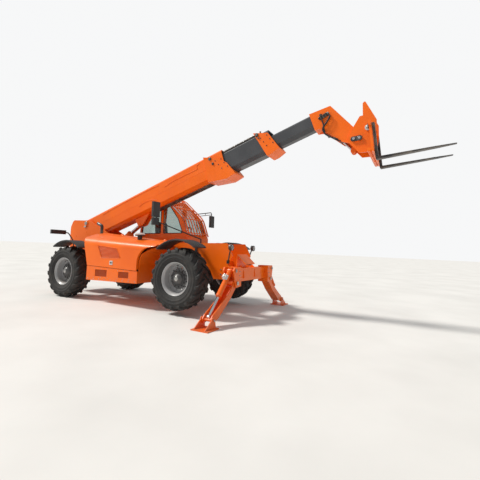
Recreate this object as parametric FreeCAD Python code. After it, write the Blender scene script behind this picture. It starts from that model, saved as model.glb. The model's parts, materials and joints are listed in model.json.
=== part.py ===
"""Telehandler with a telescopic boom, front stabilisers and pallet forks.

Everything is drawn in the level frame of the chassis, in millimetres: X forward, Y to the
machine's left, Z up, with the origin on the ground under the front axle. The stabilisers
stand on the ground and lift the front wheels, so the finished machine is pitched nose-up
about its rear axle and moved until its origin lies under the middle of its bounding box.
"""
import FreeCAD
import Part
import math
import os

V = FreeCAD.Vector
os.makedirs("parts", exist_ok=True)

# Driving dimensions
WHEELBASE = 3500.0
REAR_X = -WHEELBASE
TYRE_R = 620.0
TYRE_W = 430.0
RIM_R = 332.0
RIM_WELL_R = 288.0
RIM_WALL = 14.0
RIM_LIP = 179.0
WHEEL_Y = 995.0
KINGPIN_Y = 800.0
FRONT_LIFT = 90.0
ORIGIN_SHIFT_X = -56.85

CHASSIS_HALF = 420.0
CHASSIS_PLATE = 30.0
CHASSIS_TOP = 1100.0
ARCH_Z = TYRE_R + 170.0
RUNNING_GAP = 6.0
FIT_GAP = 0.3

# Boom: pivot in the chassis frame, angle at rest, and the three nested sections
BOOM_PIVOT_X = REAR_X - 468.0
BOOM_PIVOT_Z = 1893.0
BOOM_ANGLE = 18.5
BOOM_PIN_R = 45.0
BOOM_WALL = 12.0
# name: half width, top, bottom, inward crease of the upper side, rear end, front end, in the boom's own frame
BOOM_SECTIONS = {
    "boom_outer": dict(half=205, top=125, low=-470, crease=6, rear=-140, front=4620),
    "boom_mid": dict(half=170, top=45, low=-440, crease=0, rear=1000, front=5800),
    "boom_inner": dict(half=135, top=-95, low=-412, crease=0, rear=1850, front=6800),
}
BOOM_FOLD = -170.0
BOOM_CHAMFER = 40.0
PAD_CLEAR = 0.4

# Lift cylinder: base pin in the chassis frame, rod eye in the boom's frame
LIFT_BASE_X = REAR_X - 100.0
LIFT_BASE_Z = 860.0
LIFT_EYE_U = 1750.0
LIFT_EYE_V = -630.0
LIFT_BARREL_R = 88.0
LIFT_ROD_R = 48.0
LIFT_BARREL_L = 1325.0
LIFT_ROD_L = 1275.0
LIFT_LUG_Y = 98.0

# Head, tilt cylinder and fork carriage, in the boom's frame
TILT_PIVOT_U = 7353.0
TILT_PIVOT_V = -983.0
HEAD_HALF = 150.0
HEAD_PLATE = 22.0
BOSS_IN = 75.0
TILT_BASE_U = 6950.0
TILT_BASE_V = -450.0
TILT_EYE_U = 7217.0
TILT_EYE_V = -1130.0
TILT_BARREL_L = 440.0
TILT_ROD_L = 408.0
TILT_BARREL_R = 48.0
TILT_ROD_R = 26.0
CARRIAGE_IN = 158.0
CARRIAGE_PLATE = 26.0
LEVER_IN = 35.0
FORK_Y = 344.0
FORK_W = 100.0
FORK_T = 45.0
FORK_LENGTH = 1150.0
FORK_TILT = 4.3

# Stabilisers
LEG_HINGE_Y = 800.0
LEG_HINGE_Z = 583.0
LEG_FOOT_Y = 1580.0
LEG_FOOT_Z = 25.0
LEG_X = 1080.0
LEG_W = 180.0
LEG_PLATE = 16.0
LEG_PIN_R = 30.0
RAM_BASE_Y = 860.0
RAM_BASE_Z = 815.0
RAM_BARREL_R = 50.0
RAM_ROD_R = 27.0
RAM_BARREL_L = 590.0
RAM_ROD_L = 590.0
PAD_L = 340.0
PAD_W = 350.0
PAD_T = 18.0
BEAM_FRONT = 1112.0
BEAM_DEPTH = 141.7
BEAM_LOW = 594.0
BEAM_TOP = 853.0
BEAM_HALF = 700.0
NOSE_TOP = 1352.0

# Engine side
HOOD_Y = -1180.0
HOOD_IN_Y = -462.0
HOOD_WALL = 24.0
HOOD_REAR_X = REAR_X + 620.0
HOOD_FRONT_X = -560.0
HOOD_HINGE_X = (HOOD_REAR_X + 580.0, HOOD_FRONT_X - 340.0)
# Rows: x, shoulder height, crown height, inner edge height
HOOD_ROWS = [(HOOD_REAR_X - 20.0, 1340.0, 1556.0, 1600.0), (HOOD_FRONT_X + 20.0, 1205.0, 1345.0, 1372.0)]
SKIRT_REAR_X = HOOD_REAR_X + 280.0
SKIRT_FRONT_X = -1012.0
SEAM_REAR_Z = 797.0
SEAM_FRONT_Z = 727.0

# Cab
CAB_IN_Y = 245.0
CAB_OUT_Y = 1160.0
CAB_WALL = 40.0
CAB_LOW = 800.0
DOOR_HINGE_X = -1640.0
DOOR_HINGE_Y = 1178.0
DOOR_HINGE_Z = (1000.0, 2080.0)
DOOR_TOP_GAP = (16.0, 34.0)
GLASS_T = 8.0
GUARD_BARS = 8
GUARD_OUT = 66.0
GUARD_T = 24.0

PITCH = math.degrees(math.asin(FRONT_LIFT / WHEELBASE))


# Shapes from outlines
def edges_of(points, to3d):
    """Edges of a closed outline; a corner given as (a, b, r) is rounded with radius r."""
    count = len(points)
    starts, ends, arcs = [], [], []
    for i, point in enumerate(points):
        a = V(point[0], point[1], 0)
        radius = point[2] if len(point) > 2 else 0
        before = V(points[i - 1][0], points[i - 1][1], 0) - a
        after = V(points[(i + 1) % count][0], points[(i + 1) % count][1], 0) - a
        before.normalize()
        after.normalize()
        if radius:
            half = before.getAngle(after) / 2
            reach = radius / math.tan(half)
            p, q = a + before * reach, a + after * reach
            middle = before + after
            middle.normalize()
            centre = a + middle * (radius / math.sin(half))
            arcs.append((p, centre - middle * radius, q))
            starts.append(p)
            ends.append(q)
        else:
            arcs.append(None)
            starts.append(a)
            ends.append(a)
    edges = []
    for i in range(count):
        j = (i + 1) % count
        if arcs[i]:
            edges.append(Part.Arc(*[to3d(p.x, p.y) for p in arcs[i]]).toShape())
        if (starts[j] - ends[i]).Length > 1e-6:
            edges.append(Part.LineSegment(to3d(ends[i].x, ends[i].y), to3d(starts[j].x, starts[j].y)).toShape())
    return edges


def slab_xz(points, y0, y1):
    """Plate with an outline in X and Z, from y0 to y1."""
    face = Part.Face(Part.Wire(edges_of(points, lambda a, b: V(a, y0, b))))
    return face.extrude(V(0, y1 - y0, 0))


def slab_yz(points, x0, x1):
    """Plate with an outline in Y and Z, from x0 to x1."""
    face = Part.Face(Part.Wire(edges_of(points, lambda a, b: V(x0, a, b))))
    return face.extrude(V(x1 - x0, 0, 0))


def slab_xy(points, z0, z1):
    """Plate with an outline in X and Y, from z0 to z1."""
    face = Part.Face(Part.Wire(edges_of(points, lambda a, b: V(a, b, z0))))
    return face.extrude(V(0, 0, z1 - z0))


def block(x0, x1, y0, y1, z0, z1):
    """Box between two corners."""
    return Part.makeBox(x1 - x0, y1 - y0, z1 - z0, V(x0, y0, z0))


def bar(p, q, r):
    """Round bar from p to q."""
    axis = V(*q) - V(*p)
    return Part.makeCylinder(r, axis.Length, V(*p), axis)


def pin_y(x, z, r, y0, y1):
    """Pin along Y."""
    return bar((x, y0, z), (x, y1, z), r)


def pin_x(y, z, r, x0, x1):
    """Pin along X."""
    return bar((x0, y, z), (x1, y, z), r)


def bent_tube(points, r, bend):
    """Tube along straight runs joined by tangent arcs of one bend radius."""
    nodes = [V(*p) for p in points]
    edges = []
    last = nodes[0]
    for i in range(1, len(nodes) - 1):
        a = nodes[i - 1] - nodes[i]
        b = nodes[i + 1] - nodes[i]
        a.normalize()
        b.normalize()
        half = a.getAngle(b) / 2
        reach = bend / math.tan(half)
        middle = a + b
        middle.normalize()
        centre = nodes[i] + middle * (bend / math.sin(half))
        p, q = nodes[i] + a * reach, nodes[i] + b * reach
        edges.append(Part.LineSegment(last, p).toShape())
        edges.append(Part.Arc(p, centre - middle * bend, q).toShape())
        last = q
    edges.append(Part.LineSegment(last, nodes[-1]).toShape())
    path = Part.Wire(edges)
    start = nodes[0]
    direction = nodes[1] - nodes[0]
    ring = Part.Wire(Part.makeCircle(r, start, direction))
    return path.makePipeShell([ring], True, False)


def fuse(shapes):
    """One solid from touching pieces."""
    return shapes[0].multiFuse(shapes[1:]).removeSplitter() if len(shapes) > 1 else shapes[0]


def mirror_y(shape):
    """The same piece on the other side of the machine."""
    return shape.mirror(V(0, 0, 0), V(0, 1, 0))


def placed(shape, placement):
    """The same solids moved, keeping their form."""
    moved = shape.copy()
    moved.Placement = placement.multiply(moved.Placement)
    return moved


PARK = FreeCAD.Placement(
    V(ORIGIN_SHIFT_X, 0, 0), FreeCAD.Rotation()
).multiply(
    FreeCAD.Placement(V(0, 0, 0), FreeCAD.Rotation(V(0, 1, 0), -PITCH), V(-WHEELBASE, 0, TYRE_R))
)
SHIFT = FreeCAD.Placement(V(ORIGIN_SHIFT_X, 0, 0), FreeCAD.Rotation())
BOOM = FreeCAD.Placement(V(BOOM_PIVOT_X, 0, BOOM_PIVOT_Z), FreeCAD.Rotation(V(0, 1, 0), -BOOM_ANGLE))


def boom_point(u, v, y=0.0):
    """A point of the boom's frame, in the chassis frame."""
    return BOOM.multVec(V(u, y, v))


def save(node, shape, frame=PARK):
    """Write one node in the parked machine's frame."""
    piece = placed(shape, frame)
    piece.exportStep("parts/" + node + ".step")
    return piece


# Boom
def section_outline(name, wall=0.0):
    """Outline of a boom section in Y and Z, creased along its side, moved in by a wall."""
    s = BOOM_SECTIONS[name]
    w = s["half"] - wall
    t = s["top"] - wall
    b = s["low"] + wall
    right = [(w - BOOM_CHAMFER, t), (w - s["crease"], t - BOOM_CHAMFER)]
    if s["crease"]:
        right.append((w, BOOM_FOLD))
    right += [(w, b + 70), (w - 70, b)]
    return right + [(-y, z) for y, z in reversed(right)]


def boom_tube(name):
    """A hollow boom section with an open front end."""
    s = BOOM_SECTIONS[name]
    outer = slab_yz(section_outline(name), s["rear"], s["front"])
    return outer.cut(slab_yz(section_outline(name, BOOM_WALL), s["rear"] + BOOM_WALL, s["front"] + 1))


def section_bore(name, x0, x1):
    """The space inside a boom section between two stations."""
    return slab_yz(section_outline(name, BOOM_WALL), x0, x1)


def rear_pads(inner_name, outer_name):
    """Wear pads on both sides of a section's rear end, running inside the larger section."""
    s, big = BOOM_SECTIONS[inner_name], BOOM_SECTIONS[outer_name]
    x0 = s["rear"] + 20
    pads = []
    for side in (-1, 1):
        y0, y1 = sorted((side * (s["half"] - BOOM_WALL / 2), side * (big["half"] - BOOM_WALL - PAD_CLEAR)))
        pads.append(block(x0, x0 + 140, y0, y1, -300, -220))
    return pads


def slide_pads(outer_name, inner_name, x0, x1):
    """Wear pads inside a section, one on each side, above and below the section it carries."""
    big, small = BOOM_SECTIONS[outer_name], BOOM_SECTIONS[inner_name]
    inner_side = small["half"] + PAD_CLEAR
    wall_side = big["half"] - BOOM_WALL - 4
    pads = []
    for side in (-1, 1):
        y0, y1 = sorted((side * inner_side, side * (wall_side + 8)))
        pads.append(block(x0, x1, y0, y1, -300, -220))
    pads.append(block(x0, x1, -70, 70, small["top"] + PAD_CLEAR, big["top"] - BOOM_WALL + 4))
    pads.append(block(x0, x1, -70, 70, big["low"] + BOOM_WALL - 4, small["low"] - PAD_CLEAR))
    return pads


def boom_outer():
    """First section: hinged box with a slanted nose plate, lift lugs and a tail boss."""
    s = BOOM_SECTIONS["boom_outer"]
    tube = boom_tube("boom_outer")
    nose_points = [(4136, 144), (4518, -47, 30), (4690, -250), (4820, -560, 25), (4560, -590, 25), (4100, -480)]
    nose = slab_xz(nose_points, -s["half"] - 16, s["half"] + 16)
    nose = nose.cut(section_bore("boom_outer", 4000, 5000)).cut(slab_xz([(4200, -482), (4760, -545), (4760, -482)], -120, 120))
    rear_boss = pin_y(0, 0, 95, -s["half"] - 12, s["half"] + 12)
    inner_clear = block(60, 400, -s["half"] + BOOM_WALL, s["half"] - BOOM_WALL, -300, 90)
    lugs = []
    for side in (-1, 1):
        y0, y1 = sorted((side * 62, side * 92))
        lugs.append(slab_xz([(LIFT_EYE_U - 120, s["low"] + 6), (LIFT_EYE_U - 56, LIFT_EYE_V - 62, 56),
                             (LIFT_EYE_U + 100, LIFT_EYE_V - 60, 60), (LIFT_EYE_U + 400, s["low"] + 6)], y0, y1))
        y0, y1 = sorted((side * 92, side * 108))
        lugs.append(pin_y(LIFT_EYE_U, LIFT_EYE_V, 42, y0, y1))
    pads = slide_pads("boom_outer", "boom_mid", s["front"] - 200, s["front"] - 20)
    body = fuse([tube, rear_boss.cut(inner_clear), nose] + lugs + pads)
    return body.cut(pin_y(0, 0, BOOM_PIN_R + FIT_GAP, -400, 400))


def boom_mid():
    """Second section, with the wear pads that carry the third."""
    front = BOOM_SECTIONS["boom_mid"]["front"]
    pads = slide_pads("boom_mid", "boom_inner", front - 240, front - 80)
    return fuse([boom_tube("boom_mid")] + pads + rear_pads("boom_mid", "boom_outer"))


def mid_collar():
    """Slanted orange collar round the front end of the second section."""
    front = BOOM_SECTIONS["boom_mid"]["front"]
    half = BOOM_SECTIONS["boom_outer"]["half"]
    outline = [(front - 328, 103), (front - 13, -42), (front + 124, -462), (front - 52, -512), (front - 180, -512)]
    collar = slab_xz(outline, -half, half)
    collar = collar.cut(slab_yz(section_outline("boom_mid", -FIT_GAP), front - 400, front + FIT_GAP))
    return collar.cut(section_bore("boom_mid", front - 1, front + 200))


def boom_inner():
    """Third section."""
    return fuse([boom_tube("boom_inner")] + rear_pads("boom_inner", "boom_mid"))


def boom_head():
    """Gooseneck: two side plates and a bent cover, open below over the tilt cylinder."""
    outline = [(6700, -75), (7135, -119, 20), (7430, -860, 40), (TILT_PIVOT_U + 85, TILT_PIVOT_V - 20, 60),
               (TILT_PIVOT_U - 30, TILT_PIVOT_V - 95, 60), (7090, -900, 30), (6958, -683, 30), (6797, -470, 20),
               (6700, -440)]
    solid = slab_xz(outline, -HEAD_HALF, HEAD_HALF)
    hollow_points = [(6810, -95), (7110, -145), (7400, -865), (7560, -1200), (6900, -1200), (6600, -460),
                     (6810, -440)]
    hollow = slab_xz(hollow_points, -HEAD_HALF + HEAD_PLATE, HEAD_HALF - HEAD_PLATE)
    bosses = [pin_y(TILT_PIVOT_U, TILT_PIVOT_V, 60, *sorted((s * BOSS_IN, s * HEAD_HALF))) for s in (-1, 1)]
    base = pin_y(TILT_BASE_U, TILT_BASE_V, 28, -HEAD_HALF, HEAD_HALF)
    seat = slab_yz(section_outline("boom_inner", -FIT_GAP), 6600, BOOM_SECTIONS["boom_inner"]["front"] + FIT_GAP)
    body = fuse([solid.cut(hollow).cut(seat), base] + bosses)
    return body.cut(pin_y(TILT_PIVOT_U, TILT_PIVOT_V, 32 + FIT_GAP, -400, 400))


def boom_pipes():
    """Steel pipes along the top and underside of the first section."""
    top = BOOM_SECTIONS["boom_outer"]["top"]
    low = BOOM_SECTIONS["boom_outer"]["low"]
    pipes = [bar((260, y, top + 13 + FIT_GAP), (4050, y, top + 13 + FIT_GAP), 13) for y in (-60, 60)]
    pipes += [bar((2300, y, low - 13 - FIT_GAP), (4080, y, low - 13 - FIT_GAP), 13) for y in (-70, 0, 70)]
    return Part.makeCompound(pipes)


def head_hoses():
    """Hoses from the fitting on the head down to the tilt cylinder."""
    side = -HEAD_HALF
    route = [(6905, side - 2, -215), (6905, side - 60, -215), (6900, side - 60, -420), (6860, side - 40, -620),
             (6990, side - 30, -800), (7080, side - 18, -890)]
    hose = bent_tube(route, 13, 45)
    fitting = pin_y(6905, -215, 28, side - 18, side)
    return fuse([hose, fitting])


def rod_vector(base, eye):
    """Unit vector from a cylinder's base pin to its rod eye."""
    d = V(*eye) - V(*base)
    d.normalize()
    return d


def ram_barrel(base, eye, r, length, eye_r, eye_w, axis, bore):
    """Barrel with a base eye; axis is the pin's direction."""
    d = rod_vector(base, eye)
    b = V(*base)
    tube = Part.makeCylinder(r, length - eye_r * 0.6, b + d * (eye_r * 0.6), d)
    gland = Part.makeCylinder(r * 1.08, r * 0.5, b + d * (length - r * 0.5), d)
    ring = Part.makeCylinder(eye_r, eye_w, b - axis * (eye_w / 2), axis)
    body = fuse([tube, gland, ring])
    body = body.cut(Part.makeCylinder(bore[0], length + 10, b + d * (eye_r * 1.6), d))
    return body.cut(Part.makeCylinder(bore[1], eye_w * 3, b - axis * (eye_w * 1.5), axis))


def ram_rod(base, eye, r, inside, eye_r, eye_w, axis):
    """Rod from its piston end to the eye at its tip."""
    d = rod_vector(base, eye)
    e = V(*eye)
    shaft = Part.makeCylinder(r, inside, e - d * inside, d)
    ring = Part.makeCylinder(eye_r, eye_w, e - axis * (eye_w / 2), axis)
    return fuse([shaft, ring])


LIFT_BASE = (LIFT_BASE_X, 0, LIFT_BASE_Z)
LIFT_EYE = tuple(boom_point(LIFT_EYE_U, LIFT_EYE_V))
Y_AXIS = V(0, 1, 0)
X_AXIS = V(1, 0, 0)


def lift_barrel():
    """Barrel of the lift cylinder."""
    return ram_barrel(LIFT_BASE, LIFT_EYE, LIFT_BARREL_R, LIFT_BARREL_L, 75, 2 * LIFT_LUG_Y - 12, Y_AXIS,
                      (LIFT_ROD_R + FIT_GAP, 45 + FIT_GAP))


def lift_rod():
    """Rod of the lift cylinder."""
    return ram_rod(LIFT_BASE, LIFT_EYE, LIFT_ROD_R, LIFT_ROD_L, 58, 110, Y_AXIS)


TILT_BASE = (TILT_BASE_U, 0, TILT_BASE_V)
TILT_EYE = (TILT_EYE_U, 0, TILT_EYE_V)


def tilt_barrel():
    """Barrel of the tilt cylinder, inside the head."""
    return ram_barrel(TILT_BASE, TILT_EYE, TILT_BARREL_R, TILT_BARREL_L, 44, 80, Y_AXIS,
                      (TILT_ROD_R + FIT_GAP, 28 + FIT_GAP))


def tilt_rod():
    """Rod of the tilt cylinder."""
    return ram_rod(TILT_BASE, TILT_EYE, TILT_ROD_R, TILT_ROD_L, 36, 60, Y_AXIS)


def rounded_bar(p, q, r):
    """Outline of a link between two pin centres, r wide on each side, with round ends."""
    dx, dz = q[0] - p[0], q[1] - p[1]
    length = math.hypot(dx, dz)
    ux, uz = dx / length * r, dz / length * r
    corner = 0.98 * r
    return [(p[0] - ux - uz, p[1] - uz + ux, corner), (q[0] + ux - uz, q[1] + uz + ux, corner),
            (q[0] + ux + uz, q[1] + uz - ux, corner), (p[0] - ux + uz, p[1] - uz - ux, corner)]


# Fork carriage, drawn about its pivot with the tines along X, then tilted up
CARRIAGE = BOOM.multiply(FreeCAD.Placement(V(TILT_PIVOT_U, 0, TILT_PIVOT_V), FreeCAD.Rotation())).multiply(
    FreeCAD.Placement(V(0, 0, 0), FreeCAD.Rotation(V(0, 1, 0), BOOM_ANGLE - FORK_TILT)))

CARRIAGE_EYE_3D = CARRIAGE.inverse().multVec(boom_point(TILT_EYE_U, TILT_EYE_V))
CARRIAGE_EYE = (CARRIAGE_EYE_3D.x, CARRIAGE_EYE_3D.z)


def coupler():
    """Carriage: two shaped plates, the coupler pins and the fork frame's bars."""
    outline = [(-20, 262, 20), (95, 420, 25), (150, 420), (170, 655, 15), (215, 690, 20), (375, 290, 20),
               (355, 40), (262, -290, 20), (20, -270, 20), (-165, -20, 40), (-110, 110, 30)]
    pieces = []
    for side in (-1, 1):
        y0, y1 = sorted((side * CARRIAGE_IN, side * (CARRIAGE_IN + CARRIAGE_PLATE)))
        pieces.append(slab_xz(outline, y0, y1))
        lever = rounded_bar((0, 0), CARRIAGE_EYE, 50)
        pieces.append(slab_xz(lever, *sorted((side * LEVER_IN, side * (LEVER_IN + 24)))))
    pin = pin_y(0, 0, 32, -CARRIAGE_IN - 40, CARRIAGE_IN + 40)
    heads = [pin_y(0, 0, 55, s * (CARRIAGE_IN + 20), s * (CARRIAGE_IN + 44)) for s in (-1, 1)]
    top_pin = pin_y(200, 190, 40, -CARRIAGE_IN - 60, CARRIAGE_IN + 60)
    low_tube = pin_y(225, -360, 34, -560, 560)
    top_bar = block(262, 302, -620, 620, 60, 140)
    low_bar = block(262, 302, -560, 560, -400, -310)
    posts = [block(262, 302, s * 500 - 30, s * 500 + 30, -400, 140) for s in (-1, 1)]
    gussets = [slab_xz([(150, -200), (262, -200), (302, -400), (225, -400)], *sorted((s * 158, s * 184)))
               for s in (-1, 1)]
    return fuse(pieces + [pin] + heads + [top_pin, low_tube, top_bar, low_bar] + posts + gussets)


def forks():
    """Two tapered tines with hooked shanks."""
    face = 302 + FIT_GAP
    low = -400 - 60 - FORK_T
    tip_x = face + FORK_T + FORK_LENGTH
    side = [(face, low, 20), (tip_x, low + FORK_T - 12), (tip_x, low + FORK_T), (face + FORK_T, low + FORK_T, 12),
            (face + FORK_T, 165), (262 - 30, 165), (262 - 30, 100), (262 - FIT_GAP - 8, 100),
            (262 - FIT_GAP - 8, 140 + FIT_GAP), (face, 140 + FIT_GAP)]
    tines = []
    for y in (-FORK_Y, FORK_Y):
        half = FORK_W / 2
        plan = [(200, y - half), (tip_x - 300, y - half), (tip_x + 5, y - half / 2), (tip_x + 5, y + half / 2),
                (tip_x - 300, y + half), (200, y + half)]
        tines.append(slab_xz(side, y - half - 5, y + half + 5).common(slab_xy(plan, low - 20, 200)))
    return Part.makeCompound(tines)


# Chassis
def hood_axis_z(x):
    """Height of the hood's hinge line at a station."""
    (x0, _, _, z0), (x1, _, _, z1) = HOOD_ROWS
    return z0 + (z1 - z0) * (x - x0) / (x1 - x0)


def hood_hinge(x, r, before, after):
    """Cylinder on the hood's hinge line, between two distances from a station."""
    (x0, _, _, z0), (x1, _, _, z1) = HOOD_ROWS
    d = V(x1 - x0, 0, z1 - z0)
    d.normalize()
    p = V(x, HOOD_IN_Y, hood_axis_z(x))
    return Part.makeCylinder(r, after - before, p + d * before, d)


def chassis_frame():
    """Two side plates with axle arches, cross members, boom tower and front trough."""
    low, top = 540, CHASSIS_TOP
    tail, back = REAR_X - 800, REAR_X - 1110
    outline = [(tail, 620), (REAR_X - 400, 600), (REAR_X - 370, ARCH_Z), (REAR_X + 370, ARCH_Z),
               (REAR_X + 420, low), (-420, low), (-330, ARCH_Z), (330, ARCH_Z), (420, 600), (970, 600),
               (970, 860), (780, 890), (875, 1088), (730, NOSE_TOP, 20), (-700, NOSE_TOP, 20), (-820, top),
               (tail, top)]
    pieces = []
    for side in (-1, 1):
        y0, y1 = sorted((side * (CHASSIS_HALF - CHASSIS_PLATE), side * CHASSIS_HALF))
        pieces.append(slab_xz(outline, y0, y1))
        y0, y1 = sorted((side * 232, side * 268))
        tower = [(back, 1000), (back - 30, 1560), (back - 30, 1800, 90), (back + 70, 1995, 110),
                 (REAR_X - 330, 1965, 40), (REAR_X + 470, 1590, 60), (REAR_X + 620, 1180), (REAR_X + 620, 1000)]
        pieces.append(slab_xz(tower, y0, y1))
        pieces.append(block(tail, REAR_X + 600, *sorted((side * 232, side * CHASSIS_HALF)), 1000, 1030))
    wall = CHASSIS_HALF - CHASSIS_PLATE + 1
    # Cross plates: rear face, underside, top
    for x0, z0, z1 in ((tail, 620, top), (REAR_X + 440, 545, 850), (REAR_X + 1300, 545, 900), (-1200, 545, 900),
                       (-420, 560, 1000), (400, 610, 950)):
        pieces.append(block(x0, x0 + CHASSIS_PLATE, -wall, wall, z0, z1))
    pieces.append(block(REAR_X + 430, -400, -wall, wall, low, low + 16))
    pieces.append(block(-390, 420, -wall, wall, 950, 966))
    pieces.append(slab_xz([(back, 1020), (back - 30, 1560), (back - 30, 1800, 90), (back + 70, 1995, 110),
                           (back + 210, 1989), (back + 210, 1965), (back + 88, 1969, 90), (back - 5, 1790, 70),
                           (back - 5, 1560), (back + 25, 1020)], -233, 233))
    pieces.append(pin_y(BOOM_PIVOT_X, BOOM_PIVOT_Z, BOOM_PIN_R, -290, 290))
    for side in (-1, 1):
        pieces.append(pin_y(BOOM_PIVOT_X, BOOM_PIVOT_Z, 80, *sorted((side * 230, side * 280))))
        y0, y1 = sorted((side * LIFT_LUG_Y, side * (LIFT_LUG_Y + 28)))
        x, z = LIFT_BASE_X, LIFT_BASE_Z
        pieces.append(slab_xz([(x - 120, ARCH_Z + 10), (x - 120, z + 40, 50), (x, z + 90, 60), (x + 100, z, 40),
                               (x + 100, ARCH_Z + 10)], y0, y1))
    pieces.append(pin_y(LIFT_BASE_X, LIFT_BASE_Z, 45, -LIFT_LUG_Y - 36, LIFT_LUG_Y + 36))
    deck = block(REAR_X - 360, REAR_X + 360, -wall, wall, ARCH_Z, ARCH_Z + 16)
    pieces.append(deck.cut(block(REAR_X - 190, REAR_X + 360, -95, 95, ARCH_Z - 90, ARCH_Z + 210)))
    pieces.append(slab_yz([(-450, 1090), (-420, 1090), (-420, 1345), (-450, 1340)], SKIRT_REAR_X, -720))
    for x in HOOD_HINGE_X:
        z = hood_axis_z(x)
        pieces.append(block(x - 62, x - 36, -458, -430, 1300, z + 12))
        pieces.append(hood_hinge(x, 10, -50, 50))
    # Outriggers under the cab's two ends: x range, then underside
    for x0, x1, z0 in ((-1180, -1100, 720), (-2350, -2270, 782)):
        pieces.append(block(x0, x1, wall, 1000, z0, CAB_LOW - FIT_GAP))
    return fuse(pieces)


def counterweight():
    """Cast counterweight behind the rear axle, under the tower's tail."""
    front = REAR_X - 800 - FIT_GAP
    points = [(REAR_X - 1120, 640, 60), (REAR_X - 1130, 1000), (front, 1000 - FIT_GAP), (front, 640)]
    return slab_xz(points, -400, 400)


def engine_block():
    """Engine and gearbox as one plain block between the frame and the hood."""
    return block(REAR_X + 1100, -1350, -1020, -CHASSIS_HALF - 30 - FIT_GAP, 640, 1180)


def hood_section(x, shoulder_z, crown_z, inner_z, low_z, inset):
    """Wire of the hood's cross-section at x, moved in by inset."""
    y_out = HOOD_Y + inset
    y_in = HOOD_IN_Y
    side_top = V(x, y_out, shoulder_z - 60)
    arc_mid = V(x, y_out + 52, shoulder_z + 65 - inset)
    arc_end = V(x, y_out + 190, crown_z - 75 - inset)
    crown = V(x, -760, crown_z - inset)
    inner = V(x, y_in, inner_z - inset)
    edges = [Part.LineSegment(V(x, y_out, low_z), side_top).toShape(),
             Part.Arc(side_top, arc_mid, arc_end).toShape(),
             Part.LineSegment(arc_end, crown).toShape(),
             Part.LineSegment(crown, inner).toShape(),
             Part.LineSegment(inner, V(x, y_in, low_z)).toShape(),
             Part.LineSegment(V(x, y_in, low_z), V(x, y_out, low_z)).toShape()]
    return Part.Wire(edges)


def hood_body(low_z, inset):
    """Solid of the hood's crowned form between its two end sections."""
    wires = [hood_section(x, shoulder, crown, inner, low_z, inset) for x, shoulder, crown, inner in HOOD_ROWS]
    return Part.makeLoft(wires, True, True)


def hood_x(share):
    """Station along the hood, from 0 at its rear to 1 at its front."""
    return HOOD_REAR_X + share * (HOOD_FRONT_X - HOOD_REAR_X)


def vent_outline():
    """Slanted vent in the lid's side."""
    return [(hood_x(0.2543), 1262), (hood_x(0.5302), 1200), (hood_x(0.5862), 985), (hood_x(0.3211), 972)]


def hood_side(gap):
    """Side view of the lid, from the seam up, with the rounded front over the wheel."""
    edge = SKIRT_FRONT_X - 23 - gap
    return [(SKIRT_REAR_X - 20 + gap, SEAM_REAR_Z + gap), (edge, SEAM_FRONT_Z + gap), (edge, 1180, 330),
            (HOOD_FRONT_X, 1262), (HOOD_FRONT_X, 1700), (HOOD_REAR_X, 1700), (HOOD_REAR_X, 1470),
            (HOOD_REAR_X + 110, 1320)]


def hood():
    """Lid over the engine, with a recessed vent in its side."""
    shell = hood_body(600, 0).cut(hood_body(590, HOOD_WALL))
    lid = shell.common(slab_xz(hood_side(4), HOOD_Y - 50, HOOD_IN_Y - 4))
    lid = lid.cut(slab_xz(vent_outline(), HOOD_Y - 60, HOOD_Y + 90))
    mesh = slab_xz(vent_outline(), HOOD_Y + 18, HOOD_Y + 26)
    front = slab_xz([(-1035 - 30, 760), (-1035 - 4, 760), (-1035 - 4, 1180, 330), (HOOD_FRONT_X, 1262),
                     (HOOD_FRONT_X, 1290), (-1062, 1208, 330)], HOOD_Y + 2, HOOD_Y + 60)
    front = front.common(hood_body(600, 1))
    rings = [hood_hinge(x, 22, -25, 25) for x in HOOD_HINGE_X]
    bores = [hood_hinge(x, 10 + FIT_GAP, -75, 60) for x in HOOD_HINGE_X]
    return fuse([lid, mesh, front] + rings).cut(Part.makeCompound(bores))


# Openings in the skirt: rear and front end as shares of the hood's length, underside, top
SKIRT_GRILLES = ((0.2371, 0.4052, 560, 712), (0.5625, 0.6974, 560, 690))


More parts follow.
